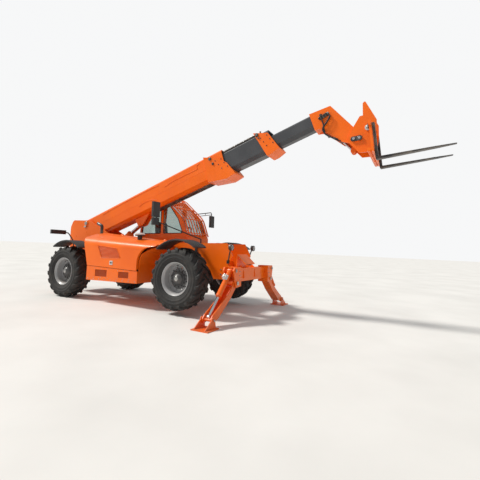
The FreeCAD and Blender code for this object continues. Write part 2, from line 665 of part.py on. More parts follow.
def engine_bay():
    """Fixed skirt with two grilles, the wheel-arch wall, the rear wall and the floor."""
    x_rear, x_front = SKIRT_REAR_X, SKIRT_FRONT_X
    skirt = slab_xz([(x_rear, 468), (x_front, 465), (x_front - 23, SEAM_FRONT_Z - 4),
                     (x_rear - 20, SEAM_REAR_Z - 4)], HOOD_Y + 8, HOOD_Y + 30)
    pieces = [skirt]
    for share0, share1, z0, z1 in SKIRT_GRILLES:
        x0, x1 = hood_x(share0), hood_x(share1)
        window = block(x0, x1, HOOD_Y, HOOD_Y + 60, z0, z1)
        pieces[0] = pieces[0].cut(window)
        pieces.append(block(x0 - 5, x1 + 5, HOOD_Y + 22, HOOD_Y + 28, z0 - 5, z1 + 5))
    floor = block(x_rear, x_front - 8, HOOD_Y + 8, -CHASSIS_HALF - FIT_GAP, 466, 486)
    arch = slab_xz([(-1034, 468), (-1012, 468), (-1012, 1136, 330), (-640, 1212), (-640, 1234), (-1034, 1158, 340)],
                   HOOD_Y + 62, -CHASSIS_HALF - 34)
    rear = slab_xz([(x_rear - 22, 480), (x_rear, 480), (x_rear, 900), (x_rear - 220, 1420), (x_rear - 242, 1410),
                    (x_rear - 22, 890)],
                   HOOD_Y + 34, -CHASSIS_HALF - 34)
    rear = rear.common(hood_body(460, HOOD_WALL + 16))
    arch = arch.common(slab_yz([(HOOD_Y + 60, 460), (HOOD_Y + 60, 1090), (HOOD_Y + 140, 1190), (HOOD_Y + 200, 1280),
                                (-CHASSIS_HALF - 30, 1280), (-CHASSIS_HALF - 30, 460)], -1040, -600))
    ledge = block(-1034, -1012, HOOD_Y + 8, HOOD_Y + 64, 468, 720)
    tie = block(x_rear - 22, x_rear, HOOD_Y + 8, HOOD_Y + 64, 468, 780)
    foot = block(x_rear - 22, x_rear, -CHASSIS_HALF - 40, -CHASSIS_HALF - FIT_GAP, 480, 1090)
    foot2 = block(-1034, -1012, -CHASSIS_HALF - 40, -CHASSIS_HALF - FIT_GAP, 468, 1080)
    return fuse(pieces + [floor, arch, rear, ledge, tie, foot, foot2])


def intake_cap():
    """Round rain cap of the air intake on the hood."""
    neck = Part.makeCylinder(52, 105, V(-1400, -760, 1395)).cut(hood_body(600, -FIT_GAP))
    return fuse([neck, Part.makeCylinder(105, 36, V(-1400, -760, 1497))])


def exhaust_stack():
    """Exhaust pipe with its bent outlet behind the hood."""
    x, y = REAR_X + 500, -520
    pipe = bent_tube([(x, y, 1100), (x, y, 1780), (x - 170, y, 1850)], 38, 60)
    bracket = block(x - 30, x + 30, y, -CHASSIS_HALF - FIT_GAP, 1040, 1110)
    muffler = Part.makeCylinder(85, 320, V(x, y, 1230))
    return fuse([pipe, muffler, bracket])


def arch_band(points, thick):
    """Outline of a curved fender through a rear tip, a top and a front tip."""
    (x0, z0), (x1, z1), (x2, z2) = points
    a = Part.Arc(V(x0, 0, z0), V(x1, 0, z1), V(x2, 0, z2))
    b = Part.Arc(V(x0 + thick * 0.6, 0, z0 - thick), V(x1, 0, z1 - thick), V(x2 - thick * 0.6, 0, z2 - thick))
    edges = [a.toShape(), Part.LineSegment(V(x2, 0, z2), V(x2 - thick * 0.6, 0, z2 - thick)).toShape(),
             b.toShape(), Part.LineSegment(V(x0 + thick * 0.6, 0, z0 - thick), V(x0, 0, z0)).toShape()]
    return Part.Face(Part.Wire(Part.__sortEdges__(edges)))


TYRE_TOP = 2 * TYRE_R
FENDER_ARCS = {
    "front": [(-500, TYRE_TOP - 26), (-40, TYRE_TOP + 162), (469, TYRE_TOP + 18)],
    "rear": [(REAR_X - 445, TYRE_TOP - 8), (REAR_X - 100, TYRE_TOP + 132), (REAR_X + 546, TYRE_TOP - 24)],
}


def fenders():
    """Four curved mudguards with the arms that hold them to the frame."""
    pieces = []
    for arc in FENDER_ARCS.values():
        band = arch_band(arc, 24)
        band.translate(V(0, -WHEEL_Y - TYRE_W / 2 + 10, 0))
        guard = band.extrude(V(0, TYRE_W - 20, 0))
        top_x, top_z = arc[1]
        arm = block(top_x - 30, top_x + 30, -800, -CHASSIS_HALF - FIT_GAP, top_z - 60, top_z - 20)
        post = block(top_x - 30, top_x + 30, -CHASSIS_HALF - 22, -CHASSIS_HALF - FIT_GAP, CHASSIS_TOP - 60, top_z - 20)
        whole = fuse([guard, arm, post])
        pieces += [whole, mirror_y(whole)]
    return Part.makeCompound(pieces)


def rear_lamps():
    """Rear lamp bars on angled arms above the rear mudguards."""
    x, y = REAR_X - 750, -CHASSIS_HALF + 15
    bar_box = block(x - 100, x - 40, -1050, -640, 1562, 1672)
    arm = bent_tube([(x - 70, -645, 1620), (x - 50, -560, 1600), (x, y - 35, 1400), (x, y, 1200),
                     (x, y, CHASSIS_TOP + FIT_GAP)], 15, 40)
    one = fuse([bar_box, arm])
    return Part.makeCompound([one, mirror_y(one)])


def front_lamps():
    """Two round work lamps on stalks at the nose of the frame."""
    foot = block(750, 805, -446, -CHASSIS_HALF - FIT_GAP, 930, 1000)
    stalk = fuse([foot, bar((780, -436, 965), (872, -500, 1262), 13)])
    lamp = Part.makeCylinder(62, 60, V(850, -500, 1262), V(1, 0, 0))
    one = fuse([stalk, lamp])
    return Part.makeCompound([one, mirror_y(one)])


# Axles
def axle(x):
    """Drive axle: centre housing, tubes and the yokes that hold the knuckles."""
    pieces = [pin_y(x, TYRE_R, 90, -640, 640), Part.makeSphere(165, V(x, 0, TYRE_R)),
              pin_x(0, TYRE_R, 80, x - 260, x + 60) if x > REAR_X / 2 else pin_x(0, TYRE_R, 80, x - 60, x + 260)]
    for side in (-1, 1):
        pieces.append(block(x - 130, x + 130, *sorted((side * 290, side * 390)), TYRE_R, ARCH_Z))
        y0, y1 = sorted((side * 620, side * 690))
        pieces.append(block(x - 60, x + 60, y0, y1, TYRE_R - 185, TYRE_R + 185))
        y0, y1 = sorted((side * 640, side * (KINGPIN_Y + 55)))
        for z0 in (TYRE_R - 185, TYRE_R + 145):
            pieces.append(block(x - 55, x + 55, y0, y1, z0, z0 + 40))
    return fuse(pieces)


def knuckle(x, side):
    """Steering knuckle with its hub, held between the yoke's arms."""
    y = side * KINGPIN_Y
    post = Part.makeCylinder(60, 2 * 145 - 2 * FIT_GAP, V(x, y, TYRE_R - 145 + FIT_GAP))
    hub = pin_y(x, TYRE_R, 130, *sorted((side * (KINGPIN_Y - 20), side * 905)))
    flange = pin_y(x, TYRE_R, 165, *sorted((side * 880, side * 905)))
    spindle = pin_y(x, TYRE_R, 40, *sorted((side * 890, side * 1060)))
    return fuse([post, hub, flange, spindle])


def revolve_y(points, x, side):
    """Ring from an outline of (y, radius) turned about the wheel's axis."""
    edges = edges_of(points, lambda a, b: V(x, side * a, TYRE_R + b))
    ring = Part.Face(Part.Wire(edges)).revolve(V(x, 0, TYRE_R), Y_AXIS, 360)
    return ring


def rim(x, side):
    """Deep dished rim with hub, nut ring and centre cap."""
    lip_out, lip_in = WHEEL_Y + RIM_LIP, WHEEL_Y - RIM_LIP
    outline = [(lip_in, RIM_R), (lip_in, RIM_WELL_R), (lip_out - 40, RIM_WELL_R), (lip_out, RIM_R - 12),
               (lip_out, RIM_R), (lip_out - 14, RIM_R), (lip_out - 50, RIM_WELL_R + RIM_WALL),
               (lip_in + 50, RIM_WELL_R + RIM_WALL), (lip_in + 14, RIM_R)]
    band = revolve_y(outline, x, side)
    disc = revolve_y([(1020, 45), (1020, 190), (985, 250), (985, RIM_WELL_R + 2), (1001, RIM_WELL_R + 2), (1001, 256),
                      (1036, 196), (1036, 45)], x, side)
    hub = revolve_y([(906 + RUNNING_GAP, 41), (906 + RUNNING_GAP, 120), (1060, 120), (1090, 105), (1130, 60),
                     (1130, 0), (1070, 0), (1070, 41)], x, side)
    body = fuse([band, disc, hub])
    for i in range(12):
        angle = math.radians(30 * i + 15)
        cx, cz = x + 218 * math.cos(angle), TYRE_R + 218 * math.sin(angle)
        body = body.cut(pin_y(cx, cz, 16, *sorted((side * 970, side * 1060))))
    return body


def tyre(x, side):
    """Tyre out to the tips of its lugs."""
    mid = WHEEL_Y
    half = TYRE_W / 2
    bead = RIM_WELL_R + RIM_WALL + FIT_GAP
    right = [(half, 480, 60), (half - 22, TYRE_R - 20, 20), (half - 45, TYRE_R)]
    seat = [(RIM_LIP - 16, RIM_R + 2), (RIM_LIP - 52, bead)]
    outline = seat + [(-y, r) for y, r in reversed(seat)]
    outline += [(-p[0], *p[1:]) for p in right] + list(reversed(right))
    return revolve_y([(mid + p[0], *p[1:]) for p in outline], x, side)


# Stabilisers, drawn on the left side
LEG_DIR = V(0, LEG_FOOT_Y - LEG_HINGE_Y, LEG_FOOT_Z - LEG_HINGE_Z)
LEG_LENGTH = LEG_DIR.Length
LEG_ANGLE = math.degrees(math.atan2(LEG_FOOT_Z - LEG_HINGE_Z, LEG_FOOT_Y - LEG_HINGE_Y))
LEG = FreeCAD.Placement(V(0, LEG_HINGE_Y, LEG_HINGE_Z), FreeCAD.Rotation(V(1, 0, 0), LEG_ANGLE))
LEG_X0 = LEG_X - LEG_W / 2
LEG_X1 = LEG_X + LEG_W / 2


def stabiliser_beam():
    """Cross beam with the brackets that hold the legs and their cylinders."""
    pieces = [block(BEAM_FRONT - BEAM_DEPTH, BEAM_FRONT, -BEAM_HALF, BEAM_HALF, BEAM_LOW, BEAM_TOP)]
    for side in (-1, 1):
        for x0, x1 in ((LEG_X0 - 32, LEG_X0 - 7), (LEG_X1 + 7, LEG_X1 + 32)):
            plate = [(side * 640, 520), (side * 840, 500), (side * 880, 640), (side * 930, 820), (side * 900, 880),
                     (side * 640, 880)]
            pieces.append(slab_yz(plate, x0, x1))
        pieces.append(block(LEG_X0 - 32, LEG_X1 + 32, *sorted((side * 640, side * 790)), 860, 884))
        pieces.append(block(LEG_X0 - 32, LEG_X1 + 32, *sorted((side * 640, side * 665)), 520, 880))
        pieces.append(pin_x(side * LEG_HINGE_Y, LEG_HINGE_Z, LEG_PIN_R, LEG_X0 - 45, LEG_X1 + 45))
        pieces.append(pin_x(side * RAM_BASE_Y, RAM_BASE_Z, 24, LEG_X0 - 45, LEG_X1 + 45))
    for y in (-370, 140):
        pieces.append(slab_xz([(BEAM_FRONT - 60, BEAM_TOP + 60), (BEAM_FRONT, BEAM_TOP), (BEAM_FRONT + 24, BEAM_LOW + 60),
                               (BEAM_FRONT - 1, BEAM_LOW + 60), (BEAM_FRONT - 100, BEAM_TOP - 1),
                               (BEAM_FRONT - 100, BEAM_TOP + 30)], y - 8, y + 8))
    sloped = slab_xz([(973, 850), (995, 850), (1010, 1095), (1185, 925), (1200, 940), (1000, 1125)], -455, -35)
    pieces.append(sloped)
    return fuse(pieces)


def leg():
    """Stabiliser leg: an open channel of two curved plates and a web below the cylinder."""
    plate = [(-70, -60, 40), (-70, 60, 50), (50, 72, 50), (215, 6, 60), (320, 6, 100), (LEG_LENGTH - 220, 40, 200),
             (LEG_LENGTH - 60, 60, 40), (LEG_LENGTH + 50, 40, 40), (LEG_LENGTH + 50, -50, 40),
             (LEG_LENGTH - 160, -110, 200), (300, -110, 200)]
    pieces = []
    for x0 in (LEG_X0, LEG_X1 - LEG_PLATE):
        pieces.append(slab_yz(plate, x0, x0 + LEG_PLATE))
    web = [(40, -60), (300, -110, 200), (LEG_LENGTH - 160, -110, 200), (LEG_LENGTH - 90, -86),
           (LEG_LENGTH - 95, -70), (LEG_LENGTH - 165, -94, 200), (300, -94, 200), (46, -45)]
    pieces.append(slab_yz(web, LEG_X0 + 2, LEG_X1 - 2))
    pieces.append(pin_x(0, 0, 55, LEG_X0, LEG_X1))
    body = fuse(pieces)
    body = body.cut(pin_x(0, 0, LEG_PIN_R + FIT_GAP, 0, 3000))
    return placed(body.cut(pin_x(LEG_LENGTH, 0, LEG_PIN_R - 6 + FIT_GAP, 0, 3000)), LEG)


RAM_BASE = (LEG_X, RAM_BASE_Y, RAM_BASE_Z)
RAM_EYE = (LEG_X, LEG_FOOT_Y - 30, LEG_FOOT_Z + 48)


def stab_barrel():
    """Barrel of a stabiliser's cylinder."""
    return ram_barrel(RAM_BASE, RAM_EYE, RAM_BARREL_R, RAM_BARREL_L, 42, 90, X_AXIS,
                      (RAM_ROD_R + FIT_GAP, 24 + FIT_GAP))


def stab_rod():
    """Rod of a stabiliser's cylinder."""
    return ram_rod(RAM_BASE, RAM_EYE, RAM_ROD_R, RAM_ROD_L, 30, 60, X_AXIS)


def foot_pin():
    """The foot's pin in the parked frame, before the shift to the origin."""
    tilt = FreeCAD.Placement(V(0, 0, 0), FreeCAD.Rotation(V(0, 1, 0), -PITCH), V(-WHEELBASE, 0, TYRE_R))
    return tilt.multVec(V(LEG_X, LEG_FOOT_Y, LEG_FOOT_Z))


def pad():
    """Ground pad with two flared ears round the leg's foot, its base level on the ground."""
    centre = foot_pin()
    cx, cy = centre.x + 10, centre.y + 85
    base = block(cx - PAD_L / 2, cx + PAD_L / 2, cy - PAD_W / 2, cy + PAD_W / 2, 0, PAD_T)
    pieces = [base]
    ear = [(cy - PAD_W / 2 + 10, PAD_T - 2), (centre.y - 48, centre.z + 20, 20), (centre.y - 30, centre.z + 52, 30),
           (centre.y + 40, centre.z + 52, 30), (centre.y + 60, centre.z + 10, 20), (cy + PAD_W / 2 - 10, PAD_T - 2)]
    for x0 in (centre.x - LEG_W / 2 - 11 - 16, centre.x + LEG_W / 2 + 11):
        pieces.append(slab_yz(ear, x0, x0 + 16))
    tilt = FreeCAD.Placement(V(0, 0, 0), FreeCAD.Rotation(V(0, 1, 0), -PITCH), V(-WHEELBASE, 0, TYRE_R))
    pin = pin_x(LEG_FOOT_Y, LEG_FOOT_Z, LEG_PIN_R - 6, LEG_X - LEG_W / 2 - 40, LEG_X + LEG_W / 2 + 40)
    return fuse(pieces + [placed(pin, tilt)])


# Cab, drawn on the left side
def cab_outline(inset):
    """Side view of the cab, moved in by inset: curved windscreen, roof, sloped rear."""
    i = inset
    return [(-805 - i, CAB_LOW + i), (-805 - i, 1500), (-1010 - i, 2010 - i * 0.4, 500), (-1640 - i * 0.2, 2560 - i, 420),
            (-2330 + i, 2585 - i, 60), (-2420 + i, 1600), (-2420 + i, CAB_LOW + i)]


def cab_inner_outline():
    """Side view of the space inside the cab."""
    return cab_outline(CAB_WALL)


SIDE_WINDOWS = {
    "front": [(-960, 1620, 30), (-1120, 1985, 300), (-1380, 2300, 200), (-1590, 2430, 30), (-1590, 1620, 30)],
    "rear": [(-1690, 1620, 30), (-1690, 2470, 30), (-2270, 2480, 40), (-2340, 1620, 30)],
}
DOOR_OUTLINE = [(-900, 900, 30), (-900, 1540), (-1075, 1985, 450), (-1480, 2400, 300), (-1640, 2490, 30), (-1640, 900, 30)]
DOOR_WINDOW = [(-975, 1560, 30), (-1130, 1960, 350), (-1400, 2270, 250), (-1570, 2370, 30), (-1570, 1560, 30)]


def cab_shell():
    """Hollow cab: walls and roof, with windows, windscreen and the door opening cut."""
    outer = slab_xz(cab_outline(0), CAB_IN_Y, CAB_OUT_Y)
    inner = slab_xz(cab_inner_outline(), CAB_IN_Y + CAB_WALL, CAB_OUT_Y - CAB_WALL)
    step_in = CHASSIS_HALF + 15
    step_top = CHASSIS_TOP + RUNNING_GAP
    front_step = NOSE_TOP + RUNNING_GAP
    inner = inner.cut(block(-2500, -700, CAB_IN_Y, step_in + CAB_WALL, 700, step_top + CAB_WALL))
    inner = inner.cut(block(-880, -700, CAB_IN_Y, step_in + CAB_WALL, 700, front_step + CAB_WALL))
    shell = outer.cut(inner)
    shell = shell.cut(block(-2500, -700, CAB_IN_Y - 5, step_in, 700, step_top))
    shell = shell.cut(block(-835, -700, CAB_IN_Y - 5, step_in, 700, front_step))
    for points in SIDE_WINDOWS.values():
        shell = shell.cut(slab_xz(points, CAB_IN_Y - 5, CAB_IN_Y + CAB_WALL + 5))
    shell = shell.cut(slab_xz(SIDE_WINDOWS["rear"], CAB_OUT_Y - CAB_WALL - 5, CAB_OUT_Y + 5))
    shell = shell.cut(slab_xz(DOOR_OUTLINE, CAB_OUT_Y - CAB_WALL - 5, CAB_OUT_Y + 5))
    y0, y1 = CAB_IN_Y + 60, CAB_OUT_Y - 60
    shell = shell.cut(slab_xz([(-700, 1600), (-1000, 1600), (-1000, 1700), (-1200, 2100), (-1560, 2440), (-1640, 2470),
                               (-1640, 2700), (-700, 2700)], y0, y1))
    shell = shell.cut(block(-2500, -2300, y0, y1, 1620, 2450))
    hinges = []
    for z in DOOR_HINGE_Z:
        hinges.append(block(DOOR_HINGE_X - 60, DOOR_HINGE_X, CAB_OUT_Y - 2, DOOR_HINGE_Y + 8, z, z + 30))
        hinges.append(Part.makeCylinder(8, 90, V(DOOR_HINGE_X, DOOR_HINGE_Y, z)))
    return fuse([shell] + hinges)


def cab_glass():
    """Panes: windscreen, roof pane, right side, left rear and rear windows."""
    y0, y1 = CAB_IN_Y + 60 + FIT_GAP, CAB_OUT_Y - 60 - FIT_GAP
    pane = slab_xz(cab_outline(12), y0, y1).cut(slab_xz(cab_outline(12 + GLASS_T), y0 - 1, y1 + 1))
    screen = pane.common(slab_xz([(-700, 1600 + FIT_GAP), (-1100, 1600 + FIT_GAP), (-1640 + FIT_GAP, 2300),
                                  (-1640 + FIT_GAP, 2700), (-700, 2700)], y0, y1))
    rear = pane.common(block(-2500, -2290, y0, y1, 1620 + FIT_GAP, 2450 - FIT_GAP))
    panes = [screen, rear]
    for points in SIDE_WINDOWS.values():
        panes.append(slab_xz(points, CAB_IN_Y + 14, CAB_IN_Y + 14 + GLASS_T))
    panes.append(slab_xz(SIDE_WINDOWS["rear"], CAB_OUT_Y - 14 - GLASS_T, CAB_OUT_Y - 14))
    return Part.makeCompound(panes)


def cab_guard():
    """Curved bars side by side over the windscreen and roof pane, tied by cross tubes."""
    y0, y1 = CAB_IN_Y + 25, CAB_OUT_Y - 25
    window = slab_xz([(-600, 1560), (-900, 1560), (-900, 1700), (-1200, 2200), (-1700, 2500), (-1700, 2800),
                      (-600, 2800)], y0, y1)
    pieces = []
    for i in range(GUARD_BARS):
        width = 30 if i in (0, GUARD_BARS - 1) else 14
        y = y0 + 15 + (y1 - y0 - 30) * i / (GUARD_BARS - 1)
        ring = slab_xz(cab_outline(-GUARD_OUT), y - width / 2, y + width / 2)
        ring = ring.cut(slab_xz(cab_outline(-GUARD_OUT + GUARD_T), y0 - 1, y1 + 1))
        pieces.append(ring.common(window))
    band = slab_xz(cab_outline(-GUARD_OUT), y0, y1).cut(slab_xz(cab_outline(-GUARD_OUT + GUARD_T), y0 - 1, y1 + 1))
    standoff = slab_xz(cab_outline(-GUARD_OUT + 6), y0, y1).cut(slab_xz(cab_outline(-FIT_GAP), y0 - 1, y1 + 1))
    # Cross ties: x range, then z range
    for x0, x1, z0, z1 in ((-900, -600, 1615, 1640), (-1100, -600, 1985, 2010), (-1265, -1240, 2200, 2700),
                           (-1690, -1660, 2400, 2800)):
        pieces.append(band.common(block(x0, x1, y0, y1, z0, z1)))
    for x0, x1, z0, z1 in ((-900, -600, 1612, 1643), (-1693, -1657, 2400, 2800)):
        for y in (y0, y1 - 30):
            pieces.append(standoff.common(block(x0, x1, y, y + 30, z0, z1)))
    return fuse(pieces)


def cab_door():
    """Door as thick as the cab's wall, with its window cut."""
    y0, y1 = CAB_OUT_Y - CAB_WALL, CAB_OUT_Y
    # The inner edge swings forward as the door opens, so the top is lower towards the hinge
    g = RUNNING_GAP
    drops = (g, -g, -g, -DOOR_TOP_GAP[0], -DOOR_TOP_GAP[1], g)
    leaf_outline = [(x + (g if x < -1500 else -g), z + drop, *r) for (x, z, *r), drop in zip(DOOR_OUTLINE, drops)]
    door = slab_xz(leaf_outline, y0, y1).cut(slab_xz(DOOR_WINDOW, y0 - 5, y1 + 5))
    leaves = []
    for z in DOOR_HINGE_Z:
        knuckle_ring = Part.makeCylinder(16, 58, V(DOOR_HINGE_X, DOOR_HINGE_Y, z + 31))
        leaf = block(DOOR_HINGE_X, DOOR_HINGE_X + 60, CAB_OUT_Y - 2, CAB_OUT_Y + 12, z + 31, z + 89)
        leaf = leaf.cut(block(DOOR_HINGE_X, DOOR_HINGE_X + 12, CAB_OUT_Y - 3, CAB_OUT_Y + 1, z, z + 100))
        leaves += [knuckle_ring, leaf]
    hole = [Part.makeCylinder(8 + FIT_GAP, 200, V(DOOR_HINGE_X, DOOR_HINGE_Y, z)) for z in DOOR_HINGE_Z]
    return fuse([door] + leaves).cut(Part.makeCompound(hole))


def door_glass():
    """Pane of the door."""
    return slab_xz(DOOR_WINDOW, CAB_OUT_Y - 24, CAB_OUT_Y - 24 + GLASS_T)


def cab_seat():
    """Operator's seat on its pedestal."""
    y = (CAB_IN_Y + CAB_OUT_Y) / 2 + 30
    pieces = [block(-2000, -1640, y - 180, y + 180, CAB_LOW + CAB_WALL + FIT_GAP, 1290),
              slab_xz([(-2080, 1280), (-1560, 1290, 40), (-1560, 1400, 40), (-2080, 1390)], y - 240, y + 240),
              slab_xz([(-2140, 1330), (-1960, 1380), (-2050, 1990, 60), (-2190, 1990, 60)], y - 220, y + 220)]
    return fuse(pieces)


def cab_console():
    """Dash with the steering column and wheel."""
    y = (CAB_IN_Y + CAB_OUT_Y) / 2 + 30
    dash = slab_xz([(-860, CAB_LOW + CAB_WALL + FIT_GAP), (-860, 1480), (-960, 1540, 30), (-1060, 1480, 40),
                    (-1060, CAB_LOW + CAB_WALL + FIT_GAP)], y - 150, y + 300)
    column = bar((-1000, y, 1460), (-1230, y, 1650), 30)
    wheel = Part.makeTorus(180, 15, V(-1240, y, 1660), V(-0.77, 0, 0.64))
    spoke = bar((-1240 - 115, y, 1660 - 138), (-1240 + 115, y, 1660 + 138), 12)
    spoke2 = bar((-1240, y - 180, 1660), (-1240, y + 180, 1660), 12)
    return fuse([dash, column, wheel, spoke, spoke2, bar((-1150, y, 1584), (-1240, y, 1660), 22)])


def side_tank():
    """Tank and steps on the left side between the wheels."""
    inner, outer = CHASSIS_HALF + FIT_GAP, WHEEL_Y + 125
    rear = REAR_X + 900
    tank = slab_xz([(rear, 560, 60), (rear, 1080, 60), (rear + 160, 1080, 20), (rear + 160, 780), (-1700, 780),
                    (-1700, 480, 40), (rear + 80, 480, 60)], inner, outer)
    step = fuse([block(-1650, -1000, outer - 220, outer + 40, 500, 530),
                 block(-1650, -1620, inner, outer + 40, 500, 790),
                 block(-1030, -1000, inner, outer + 40, 500, 790)])
    return Part.makeCompound([tank, step])


def mirrors():
    """Mirrors on their arms: one over the right mudguard, one ahead of the cab."""
    heads = [block(-610, -560, -1260, -1060, 1868, 2190), block(-610, -560, -1250, -1070, 1700, 1855)]
    arm = bar((60, -405, NOSE_TOP + FIT_GAP), (60, -405, 1440), 14)
    arm2 = bar((60, -405, 1434), (-585, -1130, 1780), 12)
    arm3 = bar((-585, -1130, 1710), (-585, -1130, 2000), 12)
    right = fuse(heads + [arm, arm2, arm3])
    left_arm = bent_tube([(-1272, CAB_OUT_Y + FIT_GAP, 2212), (-1272, CAB_OUT_Y + 60, 2212), (-820, 1300, 2250),
                          (-800, 1310, 2140)], 12, 28)
    left_head = block(-830, -775, 1220, 1400, 1830, 2150)
    left = fuse([left_arm, left_head])
    return Part.makeCompound([right, left])


# Write every node
def build():
    """Write each piece of the machine."""
    save("chassis_frame", chassis_frame())
    save("counterweight", counterweight())
    save("engine_block", engine_block())
    save("engine_bay", engine_bay())
    save("hood", hood())
    save("intake_cap", intake_cap())
    save("exhaust_stack", exhaust_stack())
    save("fenders", fenders())
    save("rear_lamps", rear_lamps())
    save("front_lamps", front_lamps())
    save("mirrors", mirrors())
    save("cab_shell", cab_shell())
    save("cab_glass", cab_glass())
    save("cab_guard", cab_guard())
    save("cab_door", cab_door())
    save("door_glass", door_glass())
    save("cab_seat", cab_seat())
    save("cab_console", cab_console())
    save("side_tank", side_tank())
    save("stabiliser_beam", stabiliser_beam())
    boom_frame = PARK.multiply(BOOM)
    for node, make in (("boom_outer", boom_outer), ("boom_mid", boom_mid), ("mid_collar", mid_collar),
                       ("boom_inner", boom_inner),
                       ("boom_head", boom_head), ("boom_pipes", boom_pipes), ("head_hoses", head_hoses),
                       ("tilt_barrel", tilt_barrel), ("tilt_rod", tilt_rod)):
        save(node, make(), boom_frame)
    carriage_frame = PARK.multiply(CARRIAGE)
    save("coupler", coupler(), carriage_frame)
    save("forks", forks(), carriage_frame)
    save("lift_barrel", lift_barrel())
    save("lift_rod", lift_rod())
    for side, side_name in ((1, "left"), (-1, "right")):
        for node, make in (("leg", leg), ("stab_barrel", stab_barrel), ("stab_rod", stab_rod)):
            shape = make()
            save(node + "_" + side_name, shape if side > 0 else mirror_y(shape))
        shape = pad()
        save("pad_" + side_name, shape if side > 0 else mirror_y(shape), SHIFT)
    for x, end in ((0.0, "front"), (-WHEELBASE, "rear")):
        save("axle_" + end, axle(x))
        for side, side_name in ((1, "left"), (-1, "right")):
            save("knuckle_" + end + "_" + side_name, knuckle(x, side))
            save("rim_" + end + "_" + side_name, rim(x, side))
            save("tyre_" + end + "_" + side_name, tyre(x, side))


build()
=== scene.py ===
"""Looks of a telehandler with a telescopic boom, pallet forks and front stabilisers.

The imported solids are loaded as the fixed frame. This file paints each of them and adds what is
too fine for the solids: treads, nuts and bolts, louvres, seals, lamps, grips and a soft seat.
Lengths are in metres. Most pieces are drawn in the level frame of the chassis, X forward, Y to
the machine's left and Z up, and are then parked with the nose raised on its stabilisers.
"""
from __future__ import annotations

import json
import logging
import math
from dataclasses import dataclass, field
from enum import Enum
from typing import Callable

import bmesh
import bpy
from mathutils import Matrix, Vector

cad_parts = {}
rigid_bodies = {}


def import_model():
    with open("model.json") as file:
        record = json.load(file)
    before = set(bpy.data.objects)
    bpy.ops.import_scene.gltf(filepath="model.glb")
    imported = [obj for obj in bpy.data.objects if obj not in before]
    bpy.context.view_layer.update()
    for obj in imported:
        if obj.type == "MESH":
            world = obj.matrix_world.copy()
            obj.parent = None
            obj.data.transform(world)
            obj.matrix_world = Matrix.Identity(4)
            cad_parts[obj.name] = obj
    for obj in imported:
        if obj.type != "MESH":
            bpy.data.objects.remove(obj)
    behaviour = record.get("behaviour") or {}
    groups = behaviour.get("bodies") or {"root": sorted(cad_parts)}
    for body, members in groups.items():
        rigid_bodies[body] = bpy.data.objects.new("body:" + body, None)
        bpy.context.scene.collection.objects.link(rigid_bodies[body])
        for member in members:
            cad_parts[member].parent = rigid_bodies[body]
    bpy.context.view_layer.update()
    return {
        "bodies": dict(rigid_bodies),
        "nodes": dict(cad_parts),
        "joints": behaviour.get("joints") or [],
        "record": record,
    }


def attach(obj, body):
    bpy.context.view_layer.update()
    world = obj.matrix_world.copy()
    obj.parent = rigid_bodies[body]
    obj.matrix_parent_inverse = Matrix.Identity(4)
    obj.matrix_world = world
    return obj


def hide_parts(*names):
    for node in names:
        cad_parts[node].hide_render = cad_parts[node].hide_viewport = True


log = logging.getLogger("telehandler")
Flat = tuple[float, float]
Point = tuple[float, float, float]
Socket = bpy.types.NodeSocket


class Side(Enum):
    """Side of the machine, as the sign of Y."""

    LEFT = 1
    RIGHT = -1


class End(Enum):
    """Axle, as its place along the chassis."""

    FRONT = 0.0
    REAR = -3.5


